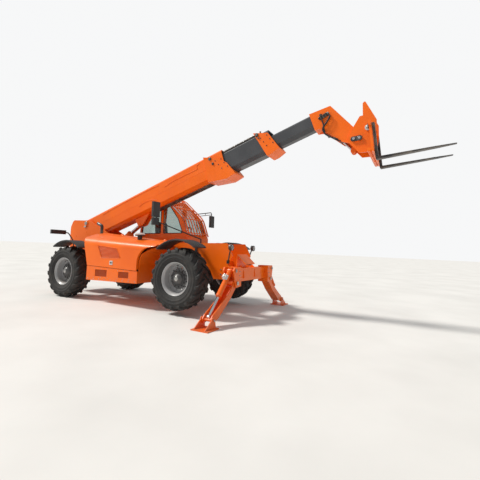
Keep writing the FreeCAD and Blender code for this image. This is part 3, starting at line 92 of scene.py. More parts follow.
# Where things stand
@dataclass(frozen=True)
class Stance:
    """How the level machine is parked and where its moving frames sit."""

    tyre_radius: float = 0.62
    wheel_y: float = 0.995
    front_lift: float = 0.09
    wheelbase: float = 3.5
    shift_x: float = -0.05685
    boom_pivot: Point = (-3.968, 0.0, 1.893)
    boom_angle: float = 18.5
    tilt_pivot: Point = (7.353, 0.0, -0.983)
    fork_tilt: float = 4.3
    leg_hinge: Flat = (0.8, 0.583)
    leg_foot: Flat = (1.58, 0.025)
    leg_x: float = 1.08
    ram_base: Flat = (0.860, 0.815)
    ram_eye: Flat = (1.55, 0.073)

    def park(self) -> Matrix:
        """Chassis frame to row frame.

        Returns:
            The matrix that raises the nose about the rear axle.
        """
        pivot = Vector((-self.wheelbase, 0.0, self.tyre_radius))
        pitch = math.asin(self.front_lift / self.wheelbase)
        raised = Matrix.Rotation(-pitch, 4, "Y")
        turn = Matrix.Translation(pivot) @ raised @ Matrix.Translation(-pivot)
        return Matrix.Translation((self.shift_x, 0.0, 0.0)) @ turn

    def boom(self) -> Matrix:
        """Boom frame (u along the boom, v above it) to row frame."""
        return self.park() @ Matrix.Translation(self.boom_pivot) @ Matrix.Rotation(
            -math.radians(self.boom_angle), 4, "Y")

    def carriage(self) -> Matrix:
        """Fork carriage frame, its origin on the tilt pin, to row frame."""
        turn = math.radians(self.boom_angle - self.fork_tilt)
        return self.boom() @ Matrix.Translation(self.tilt_pivot) @ Matrix.Rotation(turn, 4, "Y")

    def along(self, side: Side, start: Flat, stop: Flat) -> Matrix:
        """Frame in the plane of the stabilisers, mirrored for the right side.

        Args:
            side: which leg.
            start: (y, z) of its origin, as on the left.
            stop: (y, z) of a point that its Y axis runs to.
        Returns:
            The matrix from that frame to the row frame.
        """
        angle = math.atan2(stop[1] - start[1], stop[0] - start[0])
        turned = Matrix.Translation((self.leg_x, *start)) @ Matrix.Rotation(angle, 4, "X")
        flip = Matrix.Scale(-1.0, 4, (0.0, 1.0, 0.0)) if side is Side.RIGHT else Matrix.Identity(4)
        return self.park() @ flip @ turned

    def leg(self, side: Side) -> Matrix:
        """Stabiliser frame, Y along the leg from its hinge."""
        return self.along(side, self.leg_hinge, self.leg_foot)

    def ram(self, side: Side) -> Matrix:
        """Frame of a leg's cylinder, Y from its base pin along it."""
        return self.along(side, self.ram_base, self.ram_eye)

    def wheel(self, end: End, side: Side) -> Matrix:
        """Wheel frame, Y outwards along the axle, to row frame.

        Args:
            end: front or rear axle.
            side: left or right wheel.
        Returns:
            The matrix from the wheel's frame to the row frame.
        """
        flip = Matrix.Rotation(math.pi, 4, "Z") if side is Side.RIGHT else Matrix.Identity(4)
        hub = Matrix.Translation((end.value, side.value * self.wheel_y, self.tyre_radius))
        return self.park() @ hub @ flip


# Finishes
class NodeBench:
    """Short ways of wiring one material's nodes."""

    def __init__(self, name: str) -> None:
        """Starts an empty material with a shader at its output.

        Args:
            name: the material's name.
        """
        self.material = bpy.data.materials.new(name)
        self.material.use_nodes = True
        self.tree = self.material.node_tree
        self.shader = self.tree.nodes["Principled BSDF"]
        self.coordinates = self.add("ShaderNodeTexCoord").outputs["Object"]

    def add(self, kind: str) -> bpy.types.Node:
        """A new node of a kind."""
        return self.tree.nodes.new(kind)

    def link(self, a: Socket, b: Socket) -> None:
        """Joins an output to an input."""
        self.tree.links.new(a, b)

    def noise(self, scale: float, detail: float, stretch: Point = (1.0, 1.0, 1.0)) -> Socket:
        """Noise over the piece.

        Args:
            scale: number of cells in a metre.
            detail: how many finer layers it has.
            stretch: scale along each axis.
        Returns:
            The noise's value.
        """
        mapping = self.add("ShaderNodeMapping")
        mapping.inputs["Scale"].default_value = stretch
        self.link(self.coordinates, mapping.inputs["Vector"])
        node = self.add("ShaderNodeTexNoise")
        node.inputs["Scale"].default_value = scale
        node.inputs["Detail"].default_value = detail
        self.link(mapping.outputs["Vector"], node.inputs["Vector"])
        return node.outputs["Fac"]

    def spread(self, value: Socket, low: float, high: float, to_low: float = 0.0,
               to_high: float = 1.0) -> Socket:
        """Stretches a range of a value to another range.

        Args:
            value: what is stretched.
            low: its value that becomes to_low.
            high: its value that becomes to_high.
            to_low: new low end.
            to_high: new high end.
        Returns:
            The clamped result.
        """
        node = self.add("ShaderNodeMapRange")
        node.clamp = True
        for key, number in (("From Min", low), ("From Max", high), ("To Min", to_low), ("To Max", to_high)):
            node.inputs[key].default_value = number
        self.link(value, node.inputs["Value"])
        return node.outputs["Result"]

    def cloud(self, scale: float, detail: float, low: float, high: float, to_low: float = 0.0,
              to_high: float = 1.0) -> Socket:
        """Noise with a range of it stretched."""
        return self.spread(self.noise(scale, detail), low, high, to_low, to_high)

    def combine(self, operation: str, a: Socket, b: Socket) -> Socket:
        """Makes one value of two.

        Args:
            operation: what is done with them.
            a: first value.
            b: second value.
        Returns:
            The result.
        """
        node = self.add("ShaderNodeMath")
        node.operation = operation
        self.link(a, node.inputs[0])
        self.link(b, node.inputs[1])
        return node.outputs[0]

    def times(self, a: Socket, b: Socket) -> Socket:
        """Product of two values."""
        return self.combine("MULTIPLY", a, b)

    def most(self, a: Socket, b: Socket) -> Socket:
        """The larger of two values."""
        return self.combine("MAXIMUM", a, b)

    def blend(self, share: Socket, a: Point | Socket, b: Point | Socket) -> Socket:
        """Mixes two colours.

        Args:
            share: how much of b.
            a: colour or colour socket.
            b: colour or colour socket.
        Returns:
            The mixed colour.
        """
        node = self.add("ShaderNodeMix")
        node.data_type = "RGBA"
        self.link(share, node.inputs[0])
        for value, socket in ((a, node.inputs[6]), (b, node.inputs[7])):
            if isinstance(value, Socket):
                self.link(value, socket)
            else:
                socket.default_value = (*value, 1.0)
        return node.outputs[2]

    def part(self, vector: Socket, letter: str) -> Socket:
        """One component of a vector.

        Args:
            vector: the vector.
            letter: X, Y or Z.
        Returns:
            The component.
        """
        node = self.add("ShaderNodeSeparateXYZ")
        self.link(vector, node.inputs[0])
        return node.outputs[letter]

    def axis(self, letter: str) -> Socket:
        """Place along one axis of the machine, in metres."""
        return self.part(self.coordinates, letter)

    def upward(self) -> Socket:
        """How far the surface faces up, from -1 to 1."""
        return self.part(self.add("ShaderNodeNewGeometry").outputs["Normal"], "Z")

    def colour(self, value: Socket) -> None:
        """Joins a colour to the shader."""
        self.link(value, self.shader.inputs["Base Color"])

    def rough(self, value: Socket) -> None:
        """Joins a roughness to the shader."""
        self.link(value, self.shader.inputs["Roughness"])

    def bump(self, height: Socket, strength: float, distance: float) -> None:
        """Adds relief to the shader.

        Args:
            height: the relief.
            strength: share of its full effect.
            distance: its depth in metres.
        """
        node = self.add("ShaderNodeBump")
        node.inputs["Strength"].default_value = strength
        node.inputs["Distance"].default_value = distance
        self.link(height, node.inputs["Height"])
        self.link(node.outputs["Normal"], self.shader.inputs["Normal"])

    def put(self, **values: float) -> None:
        """Sets the shader's own sockets, with underscores for spaces."""
        for key, value in values.items():
            self.shader.inputs[key.replace("_", " ")].default_value = value


DUST = (0.36, 0.29, 0.22)
GLASS_FILM = (0.70, 0.74, 0.71)


@dataclass(frozen=True)
class Finish:
    """A finish, which each kind wires in its own way."""

    name: str

    def wire(self, bench: NodeBench) -> None:
        """Wires the finish on a bench."""
        raise NotImplementedError(self.name)

    def material(self) -> bpy.types.Material:
        """The finish as a node material.

        Returns:
            The material.
        """
        bench = NodeBench(self.name)
        self.wire(bench)
        return bench.material


@dataclass(frozen=True)
class Paint(Finish):
    """Sprayed paint with faint fading, orange peel, road dust low down and dust on its tops."""

    colour: Point
    shade: Point
    roughness: float = 0.34
    coat: float = 0.10
    gloss: float = 0.34
    dust: float = 0.35
    dust_top: float = 0.9
    settled: float = 0.12
    metallic: float = 0.0

    def wire(self, bench: NodeBench) -> None:
        """Wires the paint.

        Args:
            bench: the material's bench.
        """
        colour = bench.blend(bench.cloud(1.4, 5.0, 0.35, 0.68), self.colour, self.shade)
        low = bench.spread(bench.axis("Z"), self.dust_top, 0.15, 0.0, self.dust)
        patches = bench.cloud(7.0, 9.0, 0.38, 0.66)
        splash = bench.cloud(95.0, 3.0, 0.52, 0.62, 0.35, 1.0)
        grime = bench.times(bench.times(low, patches), splash)
        tops = bench.spread(bench.upward(), 0.5, 1.0, 0.0, self.settled)
        dusty = bench.most(grime, bench.times(tops, bench.cloud(3.1, 8.0, 0.35, 0.7)))
        bench.colour(bench.blend(dusty, colour, DUST))
        worn = bench.cloud(4.3, 6.0, 0.3, 0.7, self.roughness - 0.07, self.roughness + 0.1)
        bench.rough(bench.most(worn, bench.spread(dusty, 0.0, 0.5, 0.0, 0.85)))
        bench.bump(bench.noise(420.0, 2.0), 0.10, 0.0006)
        bench.put(Coat_Weight=self.coat, Coat_Roughness=0.12, Metallic=self.metallic,
                  Specular_IOR_Level=self.gloss)


@dataclass(frozen=True)
class Rubber(Finish):
    """Black rubber with patchy dust and fine grey specks."""

    colour: Point = (0.016, 0.016, 0.017)
    dusty: Point = (0.13, 0.115, 0.095)
    share: float = 0.55
    roughness: float = 0.72
    grain: float = 260.0

    def wire(self, bench: NodeBench) -> None:
        """Wires the rubber.

        Args:
            bench: the material's bench.
        """
        cloud = bench.cloud(5.0, 8.0, 0.42, 0.72, 0.0, self.share)
        speck = bench.cloud(70.0, 4.0, 0.45, 0.7, 0.0, self.share * 0.7)
        bench.colour(bench.blend(bench.most(cloud, speck), self.colour, self.dusty))
        bench.rough(bench.spread(cloud, 0.0, 1.0, self.roughness, 0.95))
        bench.bump(bench.noise(self.grain, 3.0), 0.22, 0.0012)


@dataclass(frozen=True)
class Metal(Finish):
    """Bare, plated or cast metal with drawn scratches or cast grain."""

    colour: Point
    stained: Point
    roughness: float = 0.25
    metallic: float = 1.0
    grain: float = 300.0
    depth: float = 0.0004
    stretch: Point = (1.0, 1.0, 1.0)

    def wire(self, bench: NodeBench) -> None:
        """Wires the metal.

        Args:
            bench: the material's bench.
        """
        cloud = bench.cloud(6.0, 7.0, 0.4, 0.75, 0.0, 0.8)
        bench.colour(bench.blend(cloud, self.colour, self.stained))
        bench.rough(bench.spread(bench.noise(30.0, 4.0, self.stretch), 0.3, 0.7, self.roughness * 0.7,
                                 min(0.95, self.roughness * 1.5)))
        bench.bump(bench.noise(self.grain, 3.0, self.stretch), 0.25, self.depth)
        bench.put(Metallic=self.metallic)


@dataclass(frozen=True)
class Plastic(Finish):
    """Moulded plastic with a fine leather grain and pale dust."""

    colour: Point = (0.018, 0.018, 0.02)
    faded: Point = (0.05, 0.048, 0.046)
    roughness: float = 0.5
    grain: float = 520.0

    def wire(self, bench: NodeBench) -> None:
        """Wires the plastic.

        Args:
            bench: the material's bench.
        """
        cloud = bench.cloud(3.5, 7.0, 0.35, 0.72)
        bench.colour(bench.blend(cloud, self.colour, self.faded))
        bench.rough(bench.spread(cloud, 0.0, 1.0, self.roughness - 0.08, self.roughness + 0.18))
        cells = bench.add("ShaderNodeTexVoronoi")
        cells.inputs["Scale"].default_value = self.grain
        bench.link(bench.coordinates, cells.inputs["Vector"])
        bench.bump(cells.outputs["Distance"], 0.18, 0.0005)


@dataclass(frozen=True)
class Pane(Finish):
    """Tinted safety glass with a faint patchy film of dust."""

    tint: Point = (0.86, 0.955, 0.915)
    roughness: float = 0.015
    clear: float = 1.0

    def wire(self, bench: NodeBench) -> None:
        """Wires the glass.

        Args:
            bench: the material's bench.
        """
        film = bench.cloud(4.0, 6.0, 0.45, 0.8, 0.0, 0.25)
        bench.colour(bench.blend(film, self.tint, GLASS_FILM))
        bench.rough(bench.spread(film, 0.0, 0.25, self.roughness, self.roughness + 0.06))
        bench.put(Transmission_Weight=self.clear, IOR=1.45)


@dataclass(frozen=True)
class Weave(Finish):
    """Woven seat cloth."""

    colour: Point = (0.025, 0.026, 0.03)
    thread: Point = (0.07, 0.07, 0.078)
    threads: float = 380.0

    def wire(self, bench: NodeBench) -> None:
        """Wires the cloth.

        Args:
            bench: the material's bench.
        """
        waves = []
        for direction in ("X", "Y"):
            wave = bench.add("ShaderNodeTexWave")
            wave.bands_direction = direction
            wave.inputs["Scale"].default_value = self.threads
            wave.inputs["Distortion"].default_value = 0.6
            bench.link(bench.coordinates, wave.inputs["Vector"])
            waves.append(wave.outputs["Fac"])
        weave = bench.most(*waves)
        worn = bench.times(weave, bench.cloud(6.0, 5.0, 0.3, 0.7, 0.5, 1.0))
        bench.colour(bench.blend(worn, self.colour, self.thread))
        bench.bump(weave, 0.5, 0.0008)
        bench.put(Roughness=0.9, Sheen_Weight=0.3)


class Finishes:
    """Every finish on the machine, made once and asked for by its slot's name."""

    def __init__(self) -> None:
        """Makes all the materials."""
        kinds = {
            "orange": Paint("orange_paint", (0.97, 0.166, 0.005), (0.88, 0.138, 0.005)),
            "leg_orange": Paint("stabiliser_paint", (0.93, 0.150, 0.005), (0.80, 0.118, 0.005), dust=0.55,
                                dust_top=0.6),
            "vent_orange": Paint("vent_mesh_paint", (0.52, 0.085, 0.012), (0.42, 0.070, 0.012), 0.5, 0.1),
            "lid_vent": Paint("lid_vent_paint", (0.84, 0.150, 0.018), (0.72, 0.120, 0.014), 0.5, 0.1),
            "pale": Plastic("pale_plastic", (0.70, 0.69, 0.67), (0.55, 0.54, 0.52), 0.4),
            "grey": Paint("boom_grey_paint", (0.070, 0.073, 0.080), (0.052, 0.055, 0.061), 0.36, 0.3, 0.3,
                          0.6, 0.16),
            "black": Paint("black_paint", (0.020, 0.020, 0.022), (0.030, 0.030, 0.031), 0.42, 0.15, 0.5,
                           0.8, 0.1),
            "fork_steel": Paint("fork_paint", (0.018, 0.018, 0.020), (0.045, 0.044, 0.043), 0.46, 0.1, 0.4,
                                0.5, 0.1),
            "rim_silver": Paint("wheel_silver_paint", (0.40, 0.40, 0.41), (0.30, 0.295, 0.29), 0.38, 0.2, 0.8,
                                1.15, 0.25, 0.35),
            "hub_dark": Paint("hub_paint", (0.06, 0.06, 0.065), (0.10, 0.095, 0.09), 0.5, 0.1, 0.6, 1.1, 0.2),
            "iron": Metal("cast_iron", (0.045, 0.045, 0.048), (0.10, 0.085, 0.07), 0.62, 0.3, 160.0, 0.001),
            "chrome": Metal("chromed_rod", (0.78, 0.78, 0.79), (0.62, 0.62, 0.63), 0.10, 1.0, 500.0, 0.0001,
                            (1.0, 8.0, 1.0)),
            "steel": Metal("zinc_steel", (0.52, 0.52, 0.50), (0.36, 0.35, 0.33), 0.34),
            "tyre": Rubber("tyre_rubber", (0.013, 0.013, 0.014), (0.085, 0.076, 0.065), 0.5),
            "hose": Rubber("hose_rubber", (0.012, 0.012, 0.013), (0.07, 0.065, 0.06), 0.35, 0.5, 700.0),
            "seal": Rubber("window_seal", (0.010, 0.010, 0.011), (0.05, 0.05, 0.048), 0.25, 0.6, 500.0),
            "plastic": Plastic("moulded_plastic"),
            "glass": Pane("cab_glass_tint"),
            "mirror": Metal("mirror_face", (0.88, 0.9, 0.9), (0.8, 0.82, 0.82), 0.03, 1.0, 30.0, 0.00001),
            "seat": Weave("seat_cloth"),
            "lens_clear": Pane("lamp_lens", (0.95, 0.95, 0.95), 0.04, 0.85),
            "lens_red": Pane("red_lens", (0.75, 0.02, 0.015), 0.08, 0.35),
            "lens_amber": Pane("amber_lens", (0.95, 0.30, 0.02), 0.08, 0.35),
        }
        self.made = {name: kind.material() for name, kind in kinds.items()}

    def __getitem__(self, name: str) -> bpy.types.Material:
        """The material of a finish."""
        return self.made[name]


# Making meshes
EDGE_STEPS = 2
# Washer, head and shank of a bolt: both ends along it, radius and sides, in radii of its head
BOLT = ((-0.3, 0.22, 1.35, 20), (0.0, 0.95, 1.0, 6), (0.7, 1.3, 0.5, 12))


class Smith:
    """Builds one joined mesh from many small forms."""

    def __init__(self, place: Matrix, finishes: Finishes) -> None:
        """Starts an empty mesh.

        Args:
            place: matrix from the frame that the forms are drawn in to the row frame.
            finishes: what the piece may be finished with.
        """
        self.place = place
        self.finishes = finishes
        self.bm = bmesh.new()

    def box(self, low: Point, high: Point, turn: Matrix | None = None) -> None:
        """Adds a block between two corners.

        Args:
            low: its lowest corner.
            high: its highest corner.
            turn: an extra turn about the block's middle.
        """
        middle = (Vector(low) + Vector(high)) / 2
        size = Vector(high) - Vector(low)
        spin = turn if turn is not None else Matrix.Identity(4)
        bmesh.ops.create_cube(self.bm, size=1.0,
                              matrix=Matrix.Translation(middle) @ spin @ Matrix.Diagonal((*size, 1.0)))

    def rod(self, start: Point, stop: Point, radius: float, sides: int = 24,
            end_radius: float | None = None) -> None:
        """Adds a round bar or cone.

        Args:
            start: centre of its first end.
            stop: centre of its second end.
            radius: radius at the first end.
            sides: number of faces round it.
            end_radius: radius at the second end, where it differs.
        """
        a, b = Vector(start), Vector(stop)
        axis = b - a
        turn = axis.to_track_quat("Z", "Y").to_matrix().to_4x4()
        bmesh.ops.create_cone(self.bm, cap_ends=True, cap_tris=False, segments=sides, radius1=radius,
                              radius2=radius if end_radius is None else end_radius, depth=axis.length,
                              matrix=Matrix.Translation((a + b) / 2) @ turn)

    def bolt(self, foot: Point, direction: Point, radius: float) -> None:
        """Adds a hexagon head on its washer.

        Args:
            foot: where the washer lies.
            direction: way the head stands out.
            radius: the head's radius over its corners.
        """
        p, d = Vector(foot), Vector(direction).normalized()
        for low, high, share, sides in BOLT:
            self.rod(p + d * radius * low, p + d * radius * high, radius * share, sides)

    def sweep(self, points: list[Vector], radius: float, sides: int = 12, closed: bool = False) -> None:
        """Adds a tube along a line of points.

        Args:
            points: its centreline.
            radius: its radius.
            sides: number of faces round it.
            closed: whether its ends meet.
        """
        count = len(points)
        rings = []
        normal = None
        for i in range(count):
            before = points[i - 1] if closed or i else points[0]
            after = points[(i + 1) % count] if closed or i < count - 1 else points[-1]
            along = (after - before).normalized()
            if normal is None:
                normal = along.orthogonal().normalized()
            normal = (normal - along * normal.dot(along)).normalized()
            across = along.cross(normal)
            ring = []
            for k in range(sides):
                a = 2 * math.pi * k / sides
                ring.append(points[i] + (normal * math.cos(a) + across * math.sin(a)) * radius)
            rings.append(ring)
        self.loft(rings, closed)

    def loft(self, rings: list[list[Vector]], closed: bool = False) -> None:
        """Joins rings of points by faces.

        Args:
            rings: the rings in order, all with the same number of points.
            closed: whether the last joins the first. Otherwise both are capped.
        """
        made = [[self.bm.verts.new(p) for p in ring] for ring in rings]
        count, sides = len(made), len(made[0])
        for i in range(count if closed else count - 1):
            a, b = made[i], made[(i + 1) % count]
            for k in range(sides):
                j = (k + 1) % sides
                self.bm.faces.new((a[k], a[j], b[j], b[k]))
        if not closed:
            self.bm.faces.new(made[0][::-1])
            self.bm.faces.new(made[-1])

    def lathe(self, profile: list[Flat], steps: int) -> None:
        """Turns a closed outline about the Y axis.

        Args:
            profile: the outline's points as (y, radius).
            steps: number of faces round the axis.
        """
        rings = []
        for k in range(steps):
            a = 2 * math.pi * k / steps
            rings.append([(r * math.cos(a), y, r * math.sin(a)) for y, r in profile])
        self.loft(rings, True)

    def plate(self, outline: list[Flat], low: float, high: float) -> None:
        """Adds a flat plate that lies across Y.

        Args:
            outline: its corners as (x, z).
            low: its lower face along Y.
            high: its upper face.
        """
        self.loft([[(a, y, b) for a, b in outline] for y in (low, high)])

    def done(self, name: str, finish: str, body: str, bevel: float = 0.0, angle: float = 35.0,
             subdivide: int = 0) -> bpy.types.Object:
        """Turns what was added into a piece that rides on a body.

        Args:
            name: the piece's name.
            finish: slot name of its finish.
            body: the body that it rides on.
            bevel: width of its rounded edges, 0 for none.
            angle: smallest angle of an edge that is rounded or kept sharp.
            subdivide: levels of a subdivision surface.
        Returns:
            The piece.
        """
        bmesh.ops.transform(self.bm, matrix=self.place, verts=self.bm.verts)
        bmesh.ops.recalc_face_normals(self.bm, faces=self.bm.faces)
        mesh = bpy.data.meshes.new(name)
        self.bm.to_mesh(mesh)
        self.bm.free()
        piece = bpy.data.objects.new(name, mesh)
        bpy.context.scene.collection.objects.link(piece)
        mesh.materials.append(self.finishes[finish])
        mesh.shade_smooth()
        if bevel:
            mod = piece.modifiers.new("edges", "BEVEL")
            mod.width, mod.segments, mod.limit_method = bevel, EDGE_STEPS, "ANGLE"
            mod.angle_limit = math.radians(angle)
        if subdivide:
            mod = piece.modifiers.new("smooth", "SUBSURF")
            mod.levels = mod.render_levels = subdivide
        else:
            mesh.set_sharp_from_angle(angle=math.radians(angle))
        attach(piece, body)
        log.info("%s on %s: %d faces", name, body, len(mesh.polygons))
        return piece


def ring_points(centre: Point, radius: float, count: int, start: float = 0.0,
                axes: str = "XZ") -> list[Vector]:
    """Points spread evenly round a circle.

    Args:
        centre: its centre.
        radius: its radius.
        count: number of points.
        start: angle of the first in degrees.
        axes: the plane that it lies in.
    Returns:
        The points in order.
    """
    i, j = ("XYZ".index(letter) for letter in axes)
    points = []
    for k in range(count):
        a = math.radians(start + 360.0 * k / count)
        p = list(centre)
        p[i] += radius * math.cos(a)
        p[j] += radius * math.sin(a)
        points.append(Vector(p))
    return points


def smooth_line(points: list[Vector], steps: int) -> list[Vector]:
    """A soft curve through points.

    Args:
        points: what it passes through.
        steps: spans between two of them.
    Returns:
        The curve's points.
    """
    full = [points[0] * 2 - points[1]] + points + [points[-1] * 2 - points[-2]]
    result = []
    for a, b, c, d in zip(full, full[1:], full[2:], full[3:]):
        for k in range(steps):
            t = k / steps
            result.append((b * 2 + (c - a) * t + (a * 2 - b * 5 + c * 4 - d) * t * t
                           + (b * 3 - a - c * 3 + d) * t ** 3) / 2)
    result.append(points[-1])
    return result


def rounded(outline: list[Point], steps: int = 6) -> list[Flat]:
    """Corners of a closed outline with each corner rounded by its own radius.

    Args:
        outline: corners as (a, b, radius).
        steps: spans in each rounded corner.
    Returns:
        The outline's points.
    """
    result: list[Flat] = []
    count = len(outline)
    for i, (a, b, radius) in enumerate(outline):
        here = Vector((a, b))
        if radius <= 0:
            result.append((a, b))
            continue
        back = (Vector(outline[i - 1][:2]) - here).normalized()
        on = (Vector(outline[(i + 1) % count][:2]) - here).normalized()
        half = back.angle(on) / 2
        reach = radius / math.tan(half)
        centre = here + (back + on).normalized() * (radius / math.sin(half))
        p = (here + back * reach - centre).normalized()
        q = (here + on * reach - centre).normalized()
        for k in range(steps + 1):
            result.append(tuple(centre + p.slerp(q, k / steps) * radius))
    return result


def soft_rectangle(low: Flat, high: Flat, radius: float, steps: int = 6) -> list[Flat]:
    """Outline of a rectangle with round corners.

    Args:
        low: its lowest corner.
        high: its highest corner.
        radius: radius of its corners.
        steps: spans in each rounded corner.
    Returns:
        The outline's points.
    """
    (a, b), (c, d) = low, high
    return rounded([(a, b, radius), (c, b, radius), (c, d, radius), (a, d, radius)], steps)


def wheel_name(end: End, side: Side) -> str:
    """Name of a wheel's place, as the bodies and nodes have it."""
    return f"{end.name.lower()}_{side.name.lower()}"


@dataclass
class Dress:
    """What each sub-assembly is built with."""

    stance: Stance
    finishes: Finishes

    def at(self, place: Matrix) -> Smith:
        """Empty mesh drawn in a frame."""
        return Smith(place, self.finishes)

    def level(self) -> Smith:
        """Empty mesh drawn in the frame of the level chassis."""
        return self.at(self.stance.park())

    def raised(self) -> Smith:
        """Empty mesh drawn in the boom's frame."""
        return self.at(self.stance.boom())


# The frame's own solids
@dataclass
class Frame(Dress):
    """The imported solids: each takes its finish and softly rounded edges."""

    loaded: dict
    edge: float = 0.0035
    edge_angle: float = 38.0
    weld: float = 0.00002
    nave_radius: float = 0.205
    dome_height: float = 0.045
    dome_slope: float = 0.3
    muffler_low: float = 1.229
    muffler_high: float = 1.551
    muffler_y: float = -0.52
    muffler_reach: float = 0.086
    paint_of: dict[str, str] = field(default_factory=lambda: {
        "leg_left": "leg_orange", "leg_right": "leg_orange", "pad_left": "leg_orange",
        "pad_right": "leg_orange", "stab_barrel_left": "leg_orange", "stab_barrel_right": "leg_orange",
        "lift_barrel": "orange", "cab_glass": "glass", "door_glass": "glass", "rear_lamps": "plastic"})
    plain: tuple[str, ...] = ("cab_glass", "door_glass", "boom_pipes", "head_hoses")

    def build(self) -> None:
        """Paints every node."""
        slots = {row["node"]: row["material_slot"] for row in self.loaded["record"]["subparts"]}
        for node, piece in self.loaded["nodes"].items():
            finish = self.paint_of.get(node, slots.get(node, "orange"))
            piece.data.materials.clear()
            piece.data.materials.append(self.finishes[finish])
            for polygon in piece.data.polygons:
                polygon.material_index = 0
            if node not in self.plain and not node.startswith("tyre"):
                self.soften(piece)
            log.info("painted %s %s", node, finish)
        self.naves()
        self.cap_top()
        self.can()

    def soften(self, piece: bpy.types.Object) -> None:
        """Rounds the edges of a solid.

        Args:
            piece: the solid.
        """
        weld = piece.modifiers.new("weld", "WELD")
        weld.merge_threshold = self.weld
        edges = piece.modifiers.new("edges", "BEVEL")
        edges.width, edges.segments, edges.limit_method = self.edge, EDGE_STEPS, "ANGLE"
        edges.angle_limit = math.radians(self.edge_angle)

    def second(self, node: str, finish: str, chosen: Callable[[Vector, Vector], bool]) -> None:
        """Gives some faces of a solid a second finish.

        Args:
            node: the solid's name.
            finish: the second finish.
            chosen: tells from a face's middle and normal, in the row frame, whether it is one of them.
        """
        piece = self.loaded["nodes"][node]
        piece.data.materials.append(self.finishes[finish])
        turn = piece.matrix_world.to_3x3()
        for polygon in piece.data.polygons:
            if chosen(piece.matrix_world @ polygon.center, turn @ polygon.normal):
                polygon.material_index = 1

    def naves(self) -> None:
        """Dark nave inside each silver rim."""
        for end in End:
            for side in Side:
                back = self.stance.wheel(end, side).inverted()
                self.second(f"rim_{wheel_name(end, side)}", "hub_dark",
                            lambda p, _, back=back: self.off_axle(back @ p) < self.nave_radius)

    def off_axle(self, p: Vector) -> float:
        """Distance of a point from the wheel's axis."""
        return math.hypot(p.x, p.z)

    def cap_top(self) -> None:
        """Pale dome on the air intake's cap."""
        piece = self.loaded["nodes"]["intake_cap"]
        low = max((piece.matrix_world @ v.co).z for v in piece.data.vertices) - self.dome_height
        self.second("intake_cap", "pale", lambda p, n: n.z > self.dome_slope and p.z > low)

    def can(self) -> None:
        """Bare steel can round the foot of the exhaust."""
        back = self.stance.park().inverted()

        def on_can(p: Vector, _: Vector) -> bool:
            """Whether a face's middle is on the can."""
            q = back @ p
            beside = abs(q.y - self.muffler_y) < self.muffler_reach
            return beside and self.muffler_low < q.z < self.muffler_high

        self.second("exhaust_stack", "steel", on_can)


